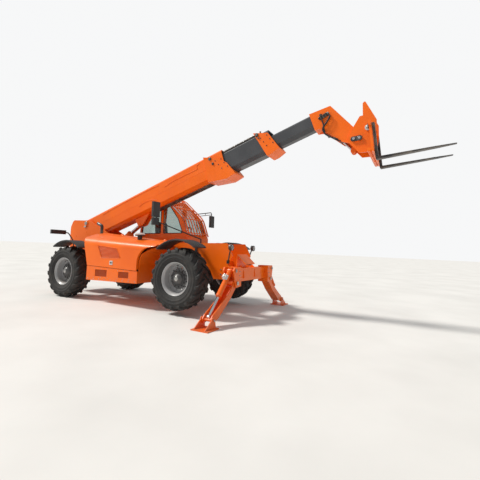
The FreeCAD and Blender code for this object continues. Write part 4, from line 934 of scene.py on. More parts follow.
# Wheels
@dataclass
class Wheels(Dress):
    """Four lugged tyres and the nuts, caps and valves of their rims."""

    radius: float = 0.62
    lugs: int = 18
    lug_width: float = 0.062
    lug_inner: float = 0.86
    lug_flare: float = 0.3
    lug_foot: float = 1.22
    lug_edge: float = 0.006
    sweep: float = 15.0
    sweep_rate: float = 1.35
    tyre_steps: int = 120
    # Rings of nuts and bolts: circle, place along the axle, count, angle of the first, head radius
    bolt_rings: tuple[tuple[float, float, int, float, float], ...] = (
        (0.157, 0.0405, 12, 0.0, 0.0125), (0.083, 0.086, 8, 10.0, 0.008))
    # Number of the nave's holes, each filled with a black disc of painted shade
    hole_shade_discs: int = 10
    hole_circle: float = 0.189
    hole_radius: float = 0.014
    valve_circle: float = 0.262
    valve_angle: float = 78.0
    crown: tuple[Flat, ...] = (
        (0.010, 0.6195), (0.070, 0.6195), (0.120, 0.6180), (0.165, 0.6120), (0.196, 0.5960), (0.211, 0.5700),
        (0.212, 0.5350))
    base: tuple[Flat, ...] = (
        (0.010, 0.5860), (0.070, 0.5855), (0.120, 0.5840), (0.165, 0.5770), (0.190, 0.5600), (0.2015, 0.5380),
        (0.2050, 0.5180))
    wall: tuple[Flat, ...] = (
        (0.0, 0.586), (0.12, 0.584), (0.165, 0.577), (0.190, 0.560), (0.2015, 0.538), (0.2065, 0.512),
        (0.2085, 0.494), (0.2125, 0.490), (0.2125, 0.478), (0.2085, 0.474), (0.2080, 0.446), (0.2060, 0.430),
        (0.2090, 0.427), (0.2085, 0.416), (0.2035, 0.412), (0.1965, 0.384), (0.1870, 0.360), (0.1760, 0.345),
        (0.1700, 0.3385), (0.1640, 0.3345), (0.1275, 0.3030))

    def tyre(self, end: End, side: Side) -> None:
        """One tyre with swept lugs that run over its shoulders.

        Args:
            end: front or rear.
            side: left or right.
        """
        name = wheel_name(end, side)
        smith = self.at(self.stance.wheel(end, side))
        profile = [(y, r) for y, r in self.wall] + [(-y, r) for y, r in reversed(self.wall[1:])]
        smith.lathe(profile, self.tyre_steps)
        for half_side, ahead in ((1, 0.0), (-1, 0.5)):
            for k in range(self.lugs):
                self.lug(smith, 360.0 * (k + ahead) / self.lugs, half_side)
        piece = smith.done(f"tyre_tread_{name}", "tyre", f"wheel_{name}", self.lug_edge, 50.0)
        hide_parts(f"tyre_{name}")

    def lug(self, smith: Smith, start: float, half_side: int) -> None:
        """One bar of the tread, from the middle over the shoulder.

        Args:
            smith: the tyre's mesh.
            start: angle of its inner end in degrees.
            half_side: 1 for the outer half of the tread, -1 for the inner.
        """
        rings = []
        last = len(self.crown) - 1
        for i, (foot, top) in enumerate(zip(self.base, self.crown)):
            t = i / last
            bend = start + self.sweep * min(1.0, t * self.sweep_rate)
            width = self.lug_width * (self.lug_inner + self.lug_flare * t)
            ring = []
            for (y, r), spread, ends in ((foot, self.lug_foot, (-1, 1)), (top, 1.0, (1, -1))):
                for s in ends:
                    a = math.radians(bend) + s * width * spread / 2 / self.radius
                    ring.append((r * math.cos(a), half_side * y, r * math.sin(a)))
            rings.append(ring)
        smith.loft(rings)

    def rim(self, end: End, side: Side) -> None:
        """Nuts, hub bolts, cap, rings and valve of one rim, with black discs of painted shade in its nave's
        holes.

        Args:
            end: front or rear.
            side: left or right.
        """
        name = wheel_name(end, side)
        body = f"wheel_{name}"
        place = self.stance.wheel(end, side)
        nuts, cap, rings, hole_shade_discs = (self.at(place) for _ in range(4))
        for circle, y, count, first, head in self.bolt_rings:
            for p in ring_points((0.0, y, 0.0), circle, count, first):
                nuts.bolt(p, (0, 1, 0), head)
        valve = ring_points((0.0, 0.0, 0.0), self.valve_circle, 1, self.valve_angle)[0]
        nuts.rod(valve, valve + Vector((0.0, 0.055, 0.0)), 0.006, 12)
        nuts.done(f"wheel_nuts_{name}", "iron", body, 0.0008)
        cap.lathe([(0.13, 0.0001), (0.142, 0.0001), (0.1415, 0.030), (0.137, 0.044), (0.128, 0.052),
                   (0.120, 0.053), (0.120, 0.0001)], 40)
        cap.done(f"hub_cap_{name}", "steel", body)
        rings.lathe([(0.040, 0.128), (0.062, 0.122), (0.066, 0.132), (0.060, 0.140), (0.042, 0.143)], 64)
        rings.lathe([(0.088, 0.062), (0.106, 0.060), (0.108, 0.068), (0.092, 0.076)], 48)
        # Black discs in the nave's holes: painted shade where the openings look dark
        for p in ring_points((0.0, 0.030, 0.0), self.hole_circle, self.hole_shade_discs, 15.0):
            hole_shade_discs.rod(p, p + Vector((0.0, 0.0125, 0.0)), self.hole_radius, 20)
        rings.done(f"hub_rings_{name}", "hub_dark", body, 0.001)
        hole_shade_discs.done(f"nave_holes_{name}", "seal", body)

    def build(self) -> None:
        """All four wheels."""
        for end in End:
            for side in Side:
                self.tyre(end, side)
                self.rim(end, side)


# Engine side
@dataclass
class EngineSide(Dress):
    """Louvres, latch, grille bars and bolts of the lid and its skirt, and the intake's cap."""

    outer_y: float = -1.180
    slats: int = 9
    slat_lean: float = 38.0
    slat_half: float = 0.016
    slat_thickness: float = 0.0024
    slat_gap: float = 0.012
    lip: float = 0.006
    vent: tuple[Flat, ...] = ((-2.290, 1.262), (-1.650, 1.200), (-1.520, 0.985), (-2.135, 0.972))
    latch: Flat = (-1.808, 0.877)
    grille_openings: tuple[tuple[float, float, float, float], ...] = (
        (-2.330, -1.940, 0.560, 0.712), (-1.575, -1.262, 0.560, 0.690))
    frame_margin: float = 0.020
    bar_pitch: float = 0.013
    bar_half: float = 0.0028
    cross_pitch: float = 0.03
    cross_half: float = 0.0015
    skirt_bolts: int = 9
    skirt_first: Flat = (-2.56, 0.500)
    skirt_pitch: float = 0.186
    cap: Flat = (-1.4, -0.76)
    cap_rim: float = 1.515
    cap_radius: float = 0.104
    cap_ribs: int = 36

    def louvres(self) -> None:
        """Slanted blades across the vent, with a lip round it."""
        blades, lip = self.level(), self.level()
        corners = [Vector(corner) for corner in self.vent]
        y = self.outer_y + 0.009
        for k in range(self.slats):
            t = (k + 0.6) / (self.slats + 0.2)
            a = corners[0].lerp(corners[3], t)
            b = corners[1].lerp(corners[2], t)
            middle = (a + b) / 2
            half = ((b - a).length - self.slat_gap) / 2
            thin = self.slat_thickness / 2
            lean = math.atan2(b.y - a.y, b.x - a.x)
            turn = Matrix.Rotation(-lean, 4, "Y") @ Matrix.Rotation(math.radians(self.slat_lean), 4, "X")
            blades.box((middle.x - half, y - self.slat_half, middle.y - thin),
                       (middle.x + half, y + self.slat_half, middle.y + thin), turn)
        blades.done("vent_blades", "lid_vent", "hood", 0.0006)
        line = [Vector((x, self.outer_y, z)) for x, z in rounded([(x, z, 0.03) for x, z in self.vent])]
        lip.sweep(line, self.lip, 8, True)
        lip.done("vent_lip", "orange", "hood")

    def latch_set(self) -> None:
        """Pale latch of the lid with its dark paddle and lock."""
        (x, z), y = self.latch, self.outer_y
        plate, paddle = self.level(), self.level()
        outline = soft_rectangle((x - 0.048, z - 0.046), (x + 0.048, z + 0.046), 0.012)
        plate.plate(outline, y - 0.008, y + 0.004)
        plate.done("lid_latch_plate", "pale", "hood", 0.002)
        outline = soft_rectangle((x - 0.028, z - 0.014), (x + 0.012, z + 0.020), 0.008)
        paddle.plate(outline, y - 0.014, y - 0.006)
        paddle.rod((x + 0.028, y - 0.006, z), (x + 0.028, y - 0.013, z), 0.010, 24)
        paddle.done("lid_latch_paddle", "black", "hood", 0.002)

    def grilles(self) -> None:
        """Upright and level bars of the two skirt grilles."""
        smith = self.level()
        y = self.outer_y
        for x0, x1, z0, z1 in self.grille_openings:
            count = int((x1 - x0) / self.bar_pitch)
            for k in range(count):
                x = x0 + (k + 0.5) * (x1 - x0) / count
                smith.box((x - self.bar_half, y + 0.012, z0), (x + self.bar_half, y + 0.020, z1))
            rows = int((z1 - z0) / self.cross_pitch)
            for k in range(1, rows):
                z = z0 + k * (z1 - z0) / rows
                smith.box((x0, y + 0.016, z - self.cross_half), (x1, y + 0.021, z + self.cross_half))
        smith.done("skirt_grille_bars", "vent_orange", "chassis")

    def screws(self) -> None:
        """Bolts along the skirt and round its grilles."""
        smith = self.level()
        y, out = self.outer_y + 0.008, (0, -1, 0)
        first, z = self.skirt_first
        for k in range(self.skirt_bolts):
            smith.bolt((first + k * self.skirt_pitch, y, z), out, 0.008)
        for x0, x1, z0, z1 in self.grille_openings:
            left, right = x0 - self.frame_margin, x1 + self.frame_margin
            for x in (left, (left + right) / 2, right):
                for z in (z0 - self.frame_margin, z1 + self.frame_margin):
                    smith.bolt((x, y, z), out, 0.006)
        smith.done("skirt_bolts", "steel", "chassis", 0.0006)

    def cap_set(self) -> None:
        """Ribs, band and dome of the rain cap."""
        ribs = self.level()
        half = Vector((0.0, 0.0, 0.016))
        for p in ring_points((*self.cap, self.cap_rim), self.cap_radius, self.cap_ribs, axes="XY"):
            ribs.rod(p - half, p + half, 0.0035, 6)
        ribs.sweep(ring_points((*self.cap, self.cap_rim - 0.043), 0.055, 40, axes="XY"), 0.006, 8, True)
        ribs.done("rain_cap_ribs", "plastic", "hood")
        upright = Matrix.Rotation(math.radians(90), 4, "X")
        dome = self.at(self.stance.park() @ Matrix.Translation((*self.cap, self.cap_rim + 0.018)) @ upright)
        dome.lathe([(0.0, 0.0001), (0.0, 0.098), (-0.012, 0.110), (-0.014, 0.118), (-0.004, 0.121),
                    (0.010, 0.117), (0.022, 0.100), (0.031, 0.070), (0.035, 0.035), (0.036, 0.0001)], 56)
        dome.done("rain_cap_dome", "pale", "hood")

    def build(self) -> None:
        """The whole engine side."""
        self.louvres()
        self.latch_set()
        self.grilles()
        self.screws()
        self.cap_set()


# Boom
@dataclass
class BoomDress(Dress):
    """Pads' bolts, chain pins, extension rod, pipe clamps and pressed edges of the boom."""

    nose_half: float = 0.221
    collar_half: float = 0.205
    section_half: float = 0.205
    section_top: float = 0.085
    fold: float = -0.170
    crease: float = 0.006
    head_side: float = -0.152
    pad_rows: int = 3
    pad_columns: int = 2
    loops: int = 2
    loop_radius: float = 0.011
    clamp_count: int = 6
    clamp_first: float = 0.5
    clamp_pitch: float = 0.68
    panels: tuple[tuple[Flat, ...], ...] = (
        ((2.862, -0.070), (3.20, -0.035), (3.849, -0.045), (3.900, -0.020), (3.911, 0.040), (3.99, 0.060)),
        ((1.949, -0.252), (2.06, -0.215), (2.244, -0.209), (2.42, -0.235), (2.569, -0.300)),
        ((0.62, 0.030), (1.20, 0.060), (2.35, 0.062), (2.70, 0.040)))

    def pads(self) -> None:
        """Bolts of the wear pads on the nose and the collar, in two rows along their slanted edges."""
        for name, body, half, first, step, pitch in (
                ("nose", "boom", self.nose_half, (4.42, -0.08), (0.055, -0.115), (0.150, -0.02)),
                ("collar", "boom_mid", self.collar_half, (5.60, -0.08), (0.040, -0.110), (0.150, 0.0))):
            smith = self.raised()
            for s in (-1, 1):
                for row in range(self.pad_rows):
                    for column in range(self.pad_columns):
                        u = first[0] + step[0] * row + pitch[0] * column
                        v = first[1] + step[1] * row + pitch[1] * column
                        smith.bolt((u, s * half, v), (0, s, 0), 0.010)
            smith.done(f"pad_bolts_{name}", "black", body, 0.0008)

    def pulleys(self) -> None:
        """Dark chain anchor pins and their ears on the nose and collar."""
        for name, body, half, pins in (
                ("nose", "boom", self.nose_half, ((4.300, 0.026, 0.040), (4.345, -0.120, 0.030))),
                ("collar", "boom_mid", self.collar_half, ((5.540, 0.020, 0.042), (5.560, -0.060, 0.020)))):
            smith, heads = self.raised(), self.raised()
            for s in (-1, 1):
                for u, v, r in pins:
                    smith.rod((u, s * (half - 0.004), v), (u, s * (half + 0.016), v), r, 32)
                    smith.rod((u, s * (half + 0.012), v), (u, s * (half + 0.022), v), r * 0.62, 24)
                    heads.bolt((u, s * (half + 0.020), v), (0, s, 0), r * 0.26)
            smith.done(f"chain_pins_{name}", "black", body, 0.002)
            heads.done(f"chain_pin_bolts_{name}", "steel", body, 0.0005)

    def extension(self) -> None:
        """Black rod above the second section, from its collar into the first section."""
        smith = self.raised()
        y, v = -0.100, 0.082
        smith.rod((4.30, y, v), (5.50, y, v), 0.023, 24)
        smith.rod((5.44, y, v), (5.52, y, v), 0.030, 24)
        smith.box((5.48, y - 0.022, 0.03), (5.52, y + 0.022, 0.098))
        smith.rod((5.62, -0.15, 0.020), (5.62, -0.15, 0.078), 0.013, 16)
        smith.rod((5.62, -0.15, 0.076), (5.62, -0.15, 0.088), 0.020, 16)
        smith.done("extension_rod", "black", "boom_mid", 0.001)

    def pressings(self) -> None:
        """Raised edges of the pressed panels along the sides of the first section."""
        smith = self.raised()
        for s in (-1, 1):
            for path in self.panels:
                line = []
                for u, v in path:
                    lean = max(0.0, (v - self.fold) / (self.section_top - self.fold))
                    line.append(Vector((u, s * (self.section_half - self.crease * lean), v)))
                smith.sweep(smooth_line(line, 6), 0.009, 10)
            smith.sweep([Vector((u, s * self.section_half, self.fold)) for u in (0.30, 2.0, 4.20)], 0.0025, 6)
        smith.done("boom_pressings", "orange", "boom")

    def head(self) -> None:
        """Manifold with its unions on the head's side."""
        block, union, hose = self.raised(), self.raised(), self.raised()
        side = self.head_side
        block.plate(rounded([(6.83, -0.250, 0.02), (7.05, -0.215, 0.02), (7.075, -0.285, 0.02),
                             (6.86, -0.310, 0.02)]), side - 0.030, side + 0.004)
        for k in range(4):
            u, v = 6.862 + 0.050 * k, -0.272 + 0.008 * k
            block.rod((u, side - 0.028, v), (u, side - 0.052, v), 0.014, 6)
            block.rod((u, side - 0.050, v), (u, side - 0.062, v), 0.009, 16)
        union.bolt((7.048, side - 0.028, -0.245), (0, -1, 0), 0.014)
        for k in range(self.loops):
            out = side - 0.022 - 0.030 * k
            loop = [(7.050, out, -0.262), (7.062, out - 0.006, -0.330), (6.975, out - 0.010, -0.420),
                    (6.860, out, -0.500), (6.856, out + 0.010, -0.610), (6.930, out + 0.018, -0.720),
                    (7.045, out + 0.024, -0.830)]
            hose.sweep(smooth_line([Vector(p) for p in loop], 8), self.loop_radius, 12)
        for u, v in ((6.905, -0.700), (7.000, -0.790)):
            block.box((u - 0.014, side - 0.045, v - 0.020), (u + 0.014, side + 0.020, v + 0.020))
        for smith, name, finish, bevel in ((hose, "head_loop_hoses", "hose", 0.0),
                                           (block, "head_manifold", "black", 0.002),
                                           (union, "head_manifold_union", "steel", 0.001)):
            smith.done(name, finish, "boom_inner", bevel)

    def clamps(self) -> None:
        """Clamps that hold the pipes along the boom."""
        smith = self.raised()
        for k in range(self.clamp_count):
            u = self.clamp_first + k * self.clamp_pitch
            smith.box((u - 0.02, -0.095, 0.125), (u + 0.02, 0.095, 0.156))
            for y in (-0.03, 0.03):
                smith.bolt((u, y, 0.156), (0, 0, 1), 0.006)
        smith.done("pipe_clamps", "plastic", "boom", 0.004)

    def pivot(self) -> None:
        """Caps and keeper plates of the boom's main pin."""
        smith = self.level()
        x, z = self.stance.boom_pivot[0], self.stance.boom_pivot[2]
        for s in (-1, 1):
            low, high = sorted((s * 0.279, s * 0.290))
            smith.rod((x, s * 0.278, z), (x, s * 0.296, z), 0.052, 40)
            smith.box((x - 0.075, low, z - 0.115), (x + 0.015, high, z - 0.075))
            for dx in (-0.06, 0.0):
                smith.bolt((x + dx, s * 0.290, z - 0.095), (0, s, 0), 0.008)
        smith.done("boom_pin_keepers", "steel", "chassis", 0.002)

    def build(self) -> None:
        """The whole boom."""
        self.pads()
        self.pulleys()
        self.extension()
        self.pressings()
        self.head()
        self.clamps()
        self.pivot()


# Carriage
@dataclass
class Carriage(Dress):
    """Lock pins, and the retainers and pin heads of the hinge."""

    cheek: float = 0.198
    lock: Flat = (0.215, 0.160)

    def locks(self) -> None:
        """Lock pins with their pale washers."""
        place = self.stance.carriage()
        pins, washers = self.at(place), self.at(place)
        x, z = self.lock
        for s in (-1, 1):
            washers.rod((x, s * self.cheek, z), (x, s * 0.222, z), 0.052, 40)
            pins.rod((x, s * 0.220, z), (x, s * 0.236, z), 0.030, 32)
            pins.bolt((x, s * 0.234, z), (0, s, 0), 0.014)
        washers.done("carriage_lock_washers", "pale", "carriage", 0.003)
        pins.done("carriage_lock_pins", "steel", "carriage", 0.002)

    def retainers(self) -> None:
        """Black oval retainers with two pin heads each, on the hinge."""
        place = self.stance.carriage()
        plate, heads = self.at(place), self.at(place)
        for s in (-1, 1):
            low, high = sorted((s * self.cheek, s * 0.220))
            plate.plate(soft_rectangle((-0.105, -0.046), (0.105, 0.046), 0.045, 10), low, high)
            for x in (-0.048, 0.052):
                heads.rod((x, s * 0.216, 0.004), (x, s * 0.230, 0.004), 0.025, 28)
                heads.rod((x, s * 0.228, 0.004), (x, s * 0.236, 0.004), 0.012, 20)
        plate.done("hinge_retainers", "black", "carriage", 0.004)
        heads.done("hinge_pin_heads", "chrome", "carriage", 0.002)

    def build(self) -> None:
        """The carriage's small parts."""
        self.retainers()
        self.locks()


# Cab
@dataclass
class Cab(Dress):
    """Window seals, wiper, door handle and the soft seat."""

    inner_y: float = 0.245
    outer_y: float = 1.160
    seal: float = 0.009
    handle: Flat = (-0.985, 1.30)
    seat_y: float = 0.7325
    back_lean: float = -8.0
    puff_cuts: int = 7
    puff_pull: float = 0.010
    channel_depth: float = 0.006
    channels: float = 2.5
    front_window: tuple[Point, ...] = (
        (-0.960, 1.620, 0.03), (-1.120, 1.985, 0.30), (-1.380, 2.300, 0.20), (-1.590, 2.430, 0.03),
        (-1.590, 1.620, 0.03))
    rear_window: tuple[Point, ...] = (
        (-1.690, 1.620, 0.03), (-1.690, 2.470, 0.03), (-2.270, 2.480, 0.04), (-2.340, 1.620, 0.03))
    door_window: tuple[Point, ...] = (
        (-0.975, 1.560, 0.03), (-1.130, 1.960, 0.35), (-1.400, 2.270, 0.25), (-1.570, 2.370, 0.03),
        (-1.570, 1.560, 0.03))

    def seals(self) -> None:
        """Rubber round each side pane and the door's."""
        for name, body, panes in (
                ("cab_seals", "chassis", ((self.front_window, self.inner_y), (self.rear_window, self.inner_y),
                                          (self.rear_window, self.outer_y))),
                ("door_seal", "door", ((self.door_window, self.outer_y),))):
            smith = self.level()
            for outline, y in panes:
                smith.sweep([Vector((a, y, b)) for a, b in rounded(list(outline), 8)], self.seal, 8, True)
            smith.done(name, "seal", body)

    def door_parts(self) -> None:
        """Handle and lock of the door."""
        smith = self.level()
        (x, z), y = self.handle, self.outer_y
        line = [(0.0, 0.10), (0.035, 0.085), (0.042, 0.0), (0.035, -0.085), (0.0, -0.10)]
        smith.sweep([Vector((x, y + out, z + up)) for out, up in line], 0.009, 12)
        smith.rod((x, y - 0.002, z - 0.15), (x, y + 0.012, z - 0.15), 0.016, 24)
        smith.done("door_handle", "plastic", "door", 0.001)

    def wiper(self) -> None:
        """Arm and blade of the wiper on the windscreen."""
        smith = self.level()
        for line, radius in ((((-0.842, 0.70, 1.585), (-0.838, 0.70, 1.66), (-0.925, 0.78, 1.92)), 0.006),
                             (((-0.868, 0.735, 1.75), (-0.985, 0.800, 2.05)), 0.008)):
            smith.sweep([Vector(p) for p in line], radius, 8)
        smith.done("wiper", "plastic", "chassis")

    def seat(self) -> None:
        """Cushion, backrest and base of the seat."""
        y = self.seat_y
        cushion = self.level()
        cushion.box((-2.07, y - 0.235, 1.292), (-1.565, y + 0.235, 1.395))
        self.puff(cushion, "seat_cushion")
        back = self.level()
        back.box((-0.055, -0.215, 0.02), (0.055, 0.215, 0.56))
        lean = Matrix.Translation((-2.045, y, 1.40)) @ Matrix.Rotation(math.radians(self.back_lean), 4, "Y")
        bmesh.ops.transform(back.bm, matrix=lean, verts=back.bm.verts)
        self.puff(back, "seat_backrest", replace="cab_seat")
        base = self.level()
        # Half width, then the lowest and highest x and z of each step of the base
        for half, x0, x1, z0, z1 in ((0.18, -2.0, -1.64, 0.842, 0.94), (0.15, -1.95, -1.69, 0.92, 1.20),
                                     (0.21, -2.03, -1.60, 1.19, 1.295)):
            base.box((x0, y - half, z0), (x1, y + half, z1))
        for s in (-1, 1):
            base.box((-1.98, y + s * 0.26 - 0.02, 1.44), (-1.72, y + s * 0.26 + 0.02, 1.47))
            base.box((-1.99, y + s * 0.255 - 0.012, 1.30), (-1.95, y + s * 0.255 + 0.012, 1.45))
        for k in range(6):
            z = 0.965 + 0.036 * k
            base.box((-1.96, y - 0.16, z), (-1.68, y + 0.16, z + 0.018))
        base.done("seat_base", "plastic", "chassis", 0.008)

    def puff(self, smith: Smith, name: str, replace: str | None = None) -> None:
        """Turns a block into a crowned cushion.

        Args:
            smith: the block.
            name: the cushion's name.
            replace: the solid that it stands for.
        """
        bmesh.ops.subdivide_edges(smith.bm, edges=smith.bm.edges[:], cuts=self.puff_cuts, use_grid_fill=True)
        low = Vector((min(v.co[i] for v in smith.bm.verts) for i in range(3)))
        high = Vector((max(v.co[i] for v in smith.bm.verts) for i in range(3)))
        middle, size = (low + high) / 2, (high - low) / 2
        for v in smith.bm.verts:
            q = Vector(((v.co[i] - middle[i]) / size[i] for i in range(3)))
            x, y, z = (abs(c) for c in q)
            pull = self.puff_pull * (x * y + y * z + x * z)
            channel = self.channel_depth * max(0.0, math.cos(q.y * math.pi * self.channels)) * (1 - y)
            v.co -= (v.co - middle).normalized() * (pull + channel)
        piece = smith.done(name, "seat", "chassis", subdivide=2)
        if replace:
            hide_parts(replace)

    def build(self) -> None:
        """The whole cab."""
        self.seals()
        self.door_parts()
        self.wiper()
        self.seat()


# Lamps, mirrors and other fittings of the chassis
@dataclass
class Fittings(Dress):
    """Lenses, mirror faces, mudguard ribs, blank plate and frame bolts."""

    lamp: Point = (0.908, 0.5, 1.262)
    lens_radius: float = 0.054
    lens_depth: float = 0.010
    lens_steps: int = 6
    bezel_radius: float = 0.057
    rib_radius: float = 0.005
    rib_count: int = 5
    rib_first: float = 0.83
    rib_pitch: float = 0.0825
    rib_steps: int = 24
    rib_start: float = 0.04
    rib_share: float = 0.92
    fender_arcs: tuple[tuple[Flat, Flat, Flat], ...] = (
        ((-0.500, 1.214), (-0.040, 1.402), (0.469, 1.258)),
        ((-3.945, 1.232), (-3.600, 1.372), (-2.954, 1.216)))

    def work_lamps(self) -> None:
        """Domed lenses of the work lamps and their rims."""
        lens, bezel = self.level(), self.level()
        x, y, z = self.lamp
        steps = self.lens_steps
        for s in (-1, 1):
            for k in range(steps):
                x0, x1 = (0.004 + self.lens_depth * (i / steps) for i in (k, k + 1))
                r0, r1 = (self.lens_radius * (1 - i / steps) for i in (k, k + 1))
                lens.rod((x + x0, s * y, z), (x + x1, s * y, z), r0, 32, max(r1, 0.001))
            rim = ring_points((x + 0.001, s * y, z), self.bezel_radius, 36, axes="YZ")
            bezel.sweep(rim, 0.006, 8, True)
        lens.done("work_lamp_lenses", "lens_clear", "chassis")
        bezel.done("work_lamp_bezels", "plastic", "chassis")

    def rear_lamps(self) -> None:
        """Lenses of the rear lamps."""
        for name, y0, y1 in (("red", 0.66, 0.79), ("amber", 0.80, 0.93), ("clear", 0.94, 1.03)):
            smith = self.level()
            for s in (-1, 1):
                a, b = sorted((s * y0, s * y1))
                smith.box((-4.353, a, 1.578), (-4.343, b, 1.656))
            smith.done(f"rear_lens_{name}", f"lens_{name}", "chassis", 0.003)

    def mirrors(self) -> None:
        """Silvered faces, turned to the rear, and the second stay of the far mirror."""
        faces, stay = self.level(), self.level()
        # Front of the glass, then the lowest and highest y and z of each face
        for x, y0, y1, z0, z1 in ((-0.6085, -1.245, -1.075, 1.883, 2.175),
                                  (-0.6085, -1.235, -1.085, 1.715, 1.840),
                                  (-0.8285, 1.235, 1.385, 1.845, 2.135)):
            faces.box((x - 0.004, y0, z0), (x, y1, z1))
        faces.done("mirror_faces", "mirror", "chassis", 0.001)
        root, elbow = Vector((-1.272, 1.220, 2.212)), Vector((-0.820, 1.300, 2.250))
        drop = Vector((0, 0, -0.062))
        line = [root.lerp(elbow, along) + drop * down
                for along, down in ((0.10, 0.0), (0.15, 0.7), (0.22, 1.0), (0.5, 1.0), (0.8, 1.0))]
        line.append(Vector((-0.806, 1.306, 2.186)))
        stay.sweep(smooth_line(line, 8), 0.009, 12)
        rung = root.lerp(elbow, 0.62)
        stay.rod(rung, rung + drop, 0.007, 12)
        stay.done("mirror_stay", "black", "chassis")

    def ribs(self) -> None:
        """Ribs across the mudguards."""
        smith = self.level()
        for arc in self.fender_arcs:
            centre, radius = circle_through(*arc)
            reach = radius + 0.001
            first, last = (math.atan2(z - centre.y, x - centre.x) for x, z in (arc[0], arc[2]))
            for s in (-1, 1):
                for k in range(self.rib_count):
                    y = s * (self.rib_first + self.rib_pitch * k)
                    line = []
                    for t in range(self.rib_steps + 1):
                        a = first + (last - first) * (self.rib_start + self.rib_share * t / self.rib_steps)
                        x, z = centre.x + reach * math.cos(a), centre.y + reach * math.sin(a)
                        line.append(Vector((x, y, z)))
                    smith.sweep(line, self.rib_radius, 8)
        smith.done("mudguard_ribs", "plastic", "chassis")

    def plates(self) -> None:
        """Blank rear plate and the bolts of the crossbeam and the nose."""
        plate, smith = self.level(), self.level()
        plate.box((-4.6495, -0.20, 1.20), (-4.6420, 0.20, 1.30), Matrix.Rotation(math.radians(-3), 4, "Y"))
        plate.done("rear_plate_blank", "steel", "chassis", 0.002)
        for s in (-1, 1):
            for z in (0.64, 0.72, 0.80):
                smith.bolt((1.202, s * 0.70, z), (1, 0, 0), 0.010)
            for x in (0.60, 0.72, 0.84):
                for z in (0.70, 0.80):
                    smith.bolt((x, s * 0.42, z), (0, s, 0), 0.011)
        smith.done("beam_bolts", "steel", "chassis", 0.0008)

    def build(self) -> None:
        """All the fittings."""
        self.work_lamps()
        self.rear_lamps()
        self.mirrors()
        self.ribs()
        self.plates()


def circle_through(a: Flat, b: Flat, c: Flat) -> tuple[Vector, float]:
    """Circle through three points.

    Args:
        a: first point.
        b: second point.
        c: third point.
    Returns:
        Its centre and radius.
    """
    (ax, ay), (bx, by), (cx, cy) = a, b, c
    d = 2 * (ax * (by - cy) + bx * (cy - ay) + cx * (ay - by))
    aa, bb, cc = ax * ax + ay * ay, bx * bx + by * by, cx * cx + cy * cy
    ux = (aa * (by - cy) + bb * (cy - ay) + cc * (ay - by)) / d
    uy = (aa * (cx - bx) + bb * (ax - cx) + cc * (bx - ax)) / d
    centre = Vector((ux, uy))
    return centre, (Vector(a) - centre).length


# Stabilisers
@dataclass
class Stabilisers(Dress):
    """Pin caps, lock valves and pin keepers of both legs."""

    length: float = 0.959
    pad_half: float = 0.098
    bracket_half: float = 0.135
    hinge_keeper: float = 0.036
    ram_keeper: float = 0.030

    def caps(self, side: Side, name: str) -> None:
        """Caps of the pin between a leg and its pad.

        Args:
            side: left or right leg.
            name: the side's name.
        """
        smith = self.at(self.stance.leg(side))
        for s in (-1, 1):
            x = s * self.pad_half
            smith.rod((x - s * 0.012, self.length, 0), (x + s * 0.045, self.length, 0), 0.020, 24)
        smith.done(f"foot_pin_caps_{name}", "steel", f"pad_{name}", 0.002)

    def valve(self, side: Side, name: str) -> None:
        """Pale lock valve with its unions on a leg's cylinder.

        Args:
            side: left or right leg.
            name: the side's name.
        """
        place = self.stance.ram(side)
        block, unions = self.at(place), self.at(place)
        block.box((-0.034, 0.165, 0.058), (0.034, 0.235, 0.104))
        block.box((-0.044, 0.150, 0.034), (0.044, 0.250, 0.062))
        block.done(f"lock_valve_{name}", "pale", f"stab_barrel_{name}", 0.005)
        for y in (0.180, 0.220):
            unions.rod((-0.032, y, 0.080), (-0.054, y, 0.080), 0.012, 6)
            unions.rod((0.0, y, 0.102), (0.0, y, 0.122), 0.012, 6)
            unions.rod((0.0, y, 0.120), (0.0, y, 0.130), 0.008, 16)
        unions.done(f"lock_valve_unions_{name}", "steel", f"stab_barrel_{name}", 0.001)

    def pins(self, side: Side, name: str) -> None:
        """Keepers of the hinge and cylinder pins on the cross beam's brackets.

        Args:
            side: left or right leg.
            name: the side's name.
        """
        smith = self.level()
        for (y, z), r in ((self.stance.leg_hinge, self.hinge_keeper),
                          (self.stance.ram_base, self.ram_keeper)):
            y *= side.value
            for s in (1, -1):
                x = self.stance.leg_x + s * self.bracket_half
                smith.rod((x - s * 0.003, y, z), (x + s * 0.008, y, z), r, 28)
                smith.bolt((x + s * 0.007, y, z), (s, 0, 0), 0.010)
        smith.done(f"beam_pin_keepers_{name}", "steel", "chassis", 0.001)

    def build(self) -> None:
        """Both legs."""
        for side in Side:
            name = side.name.lower()
            self.caps(side, name)
            self.valve(side, name)
            self.pins(side, name)


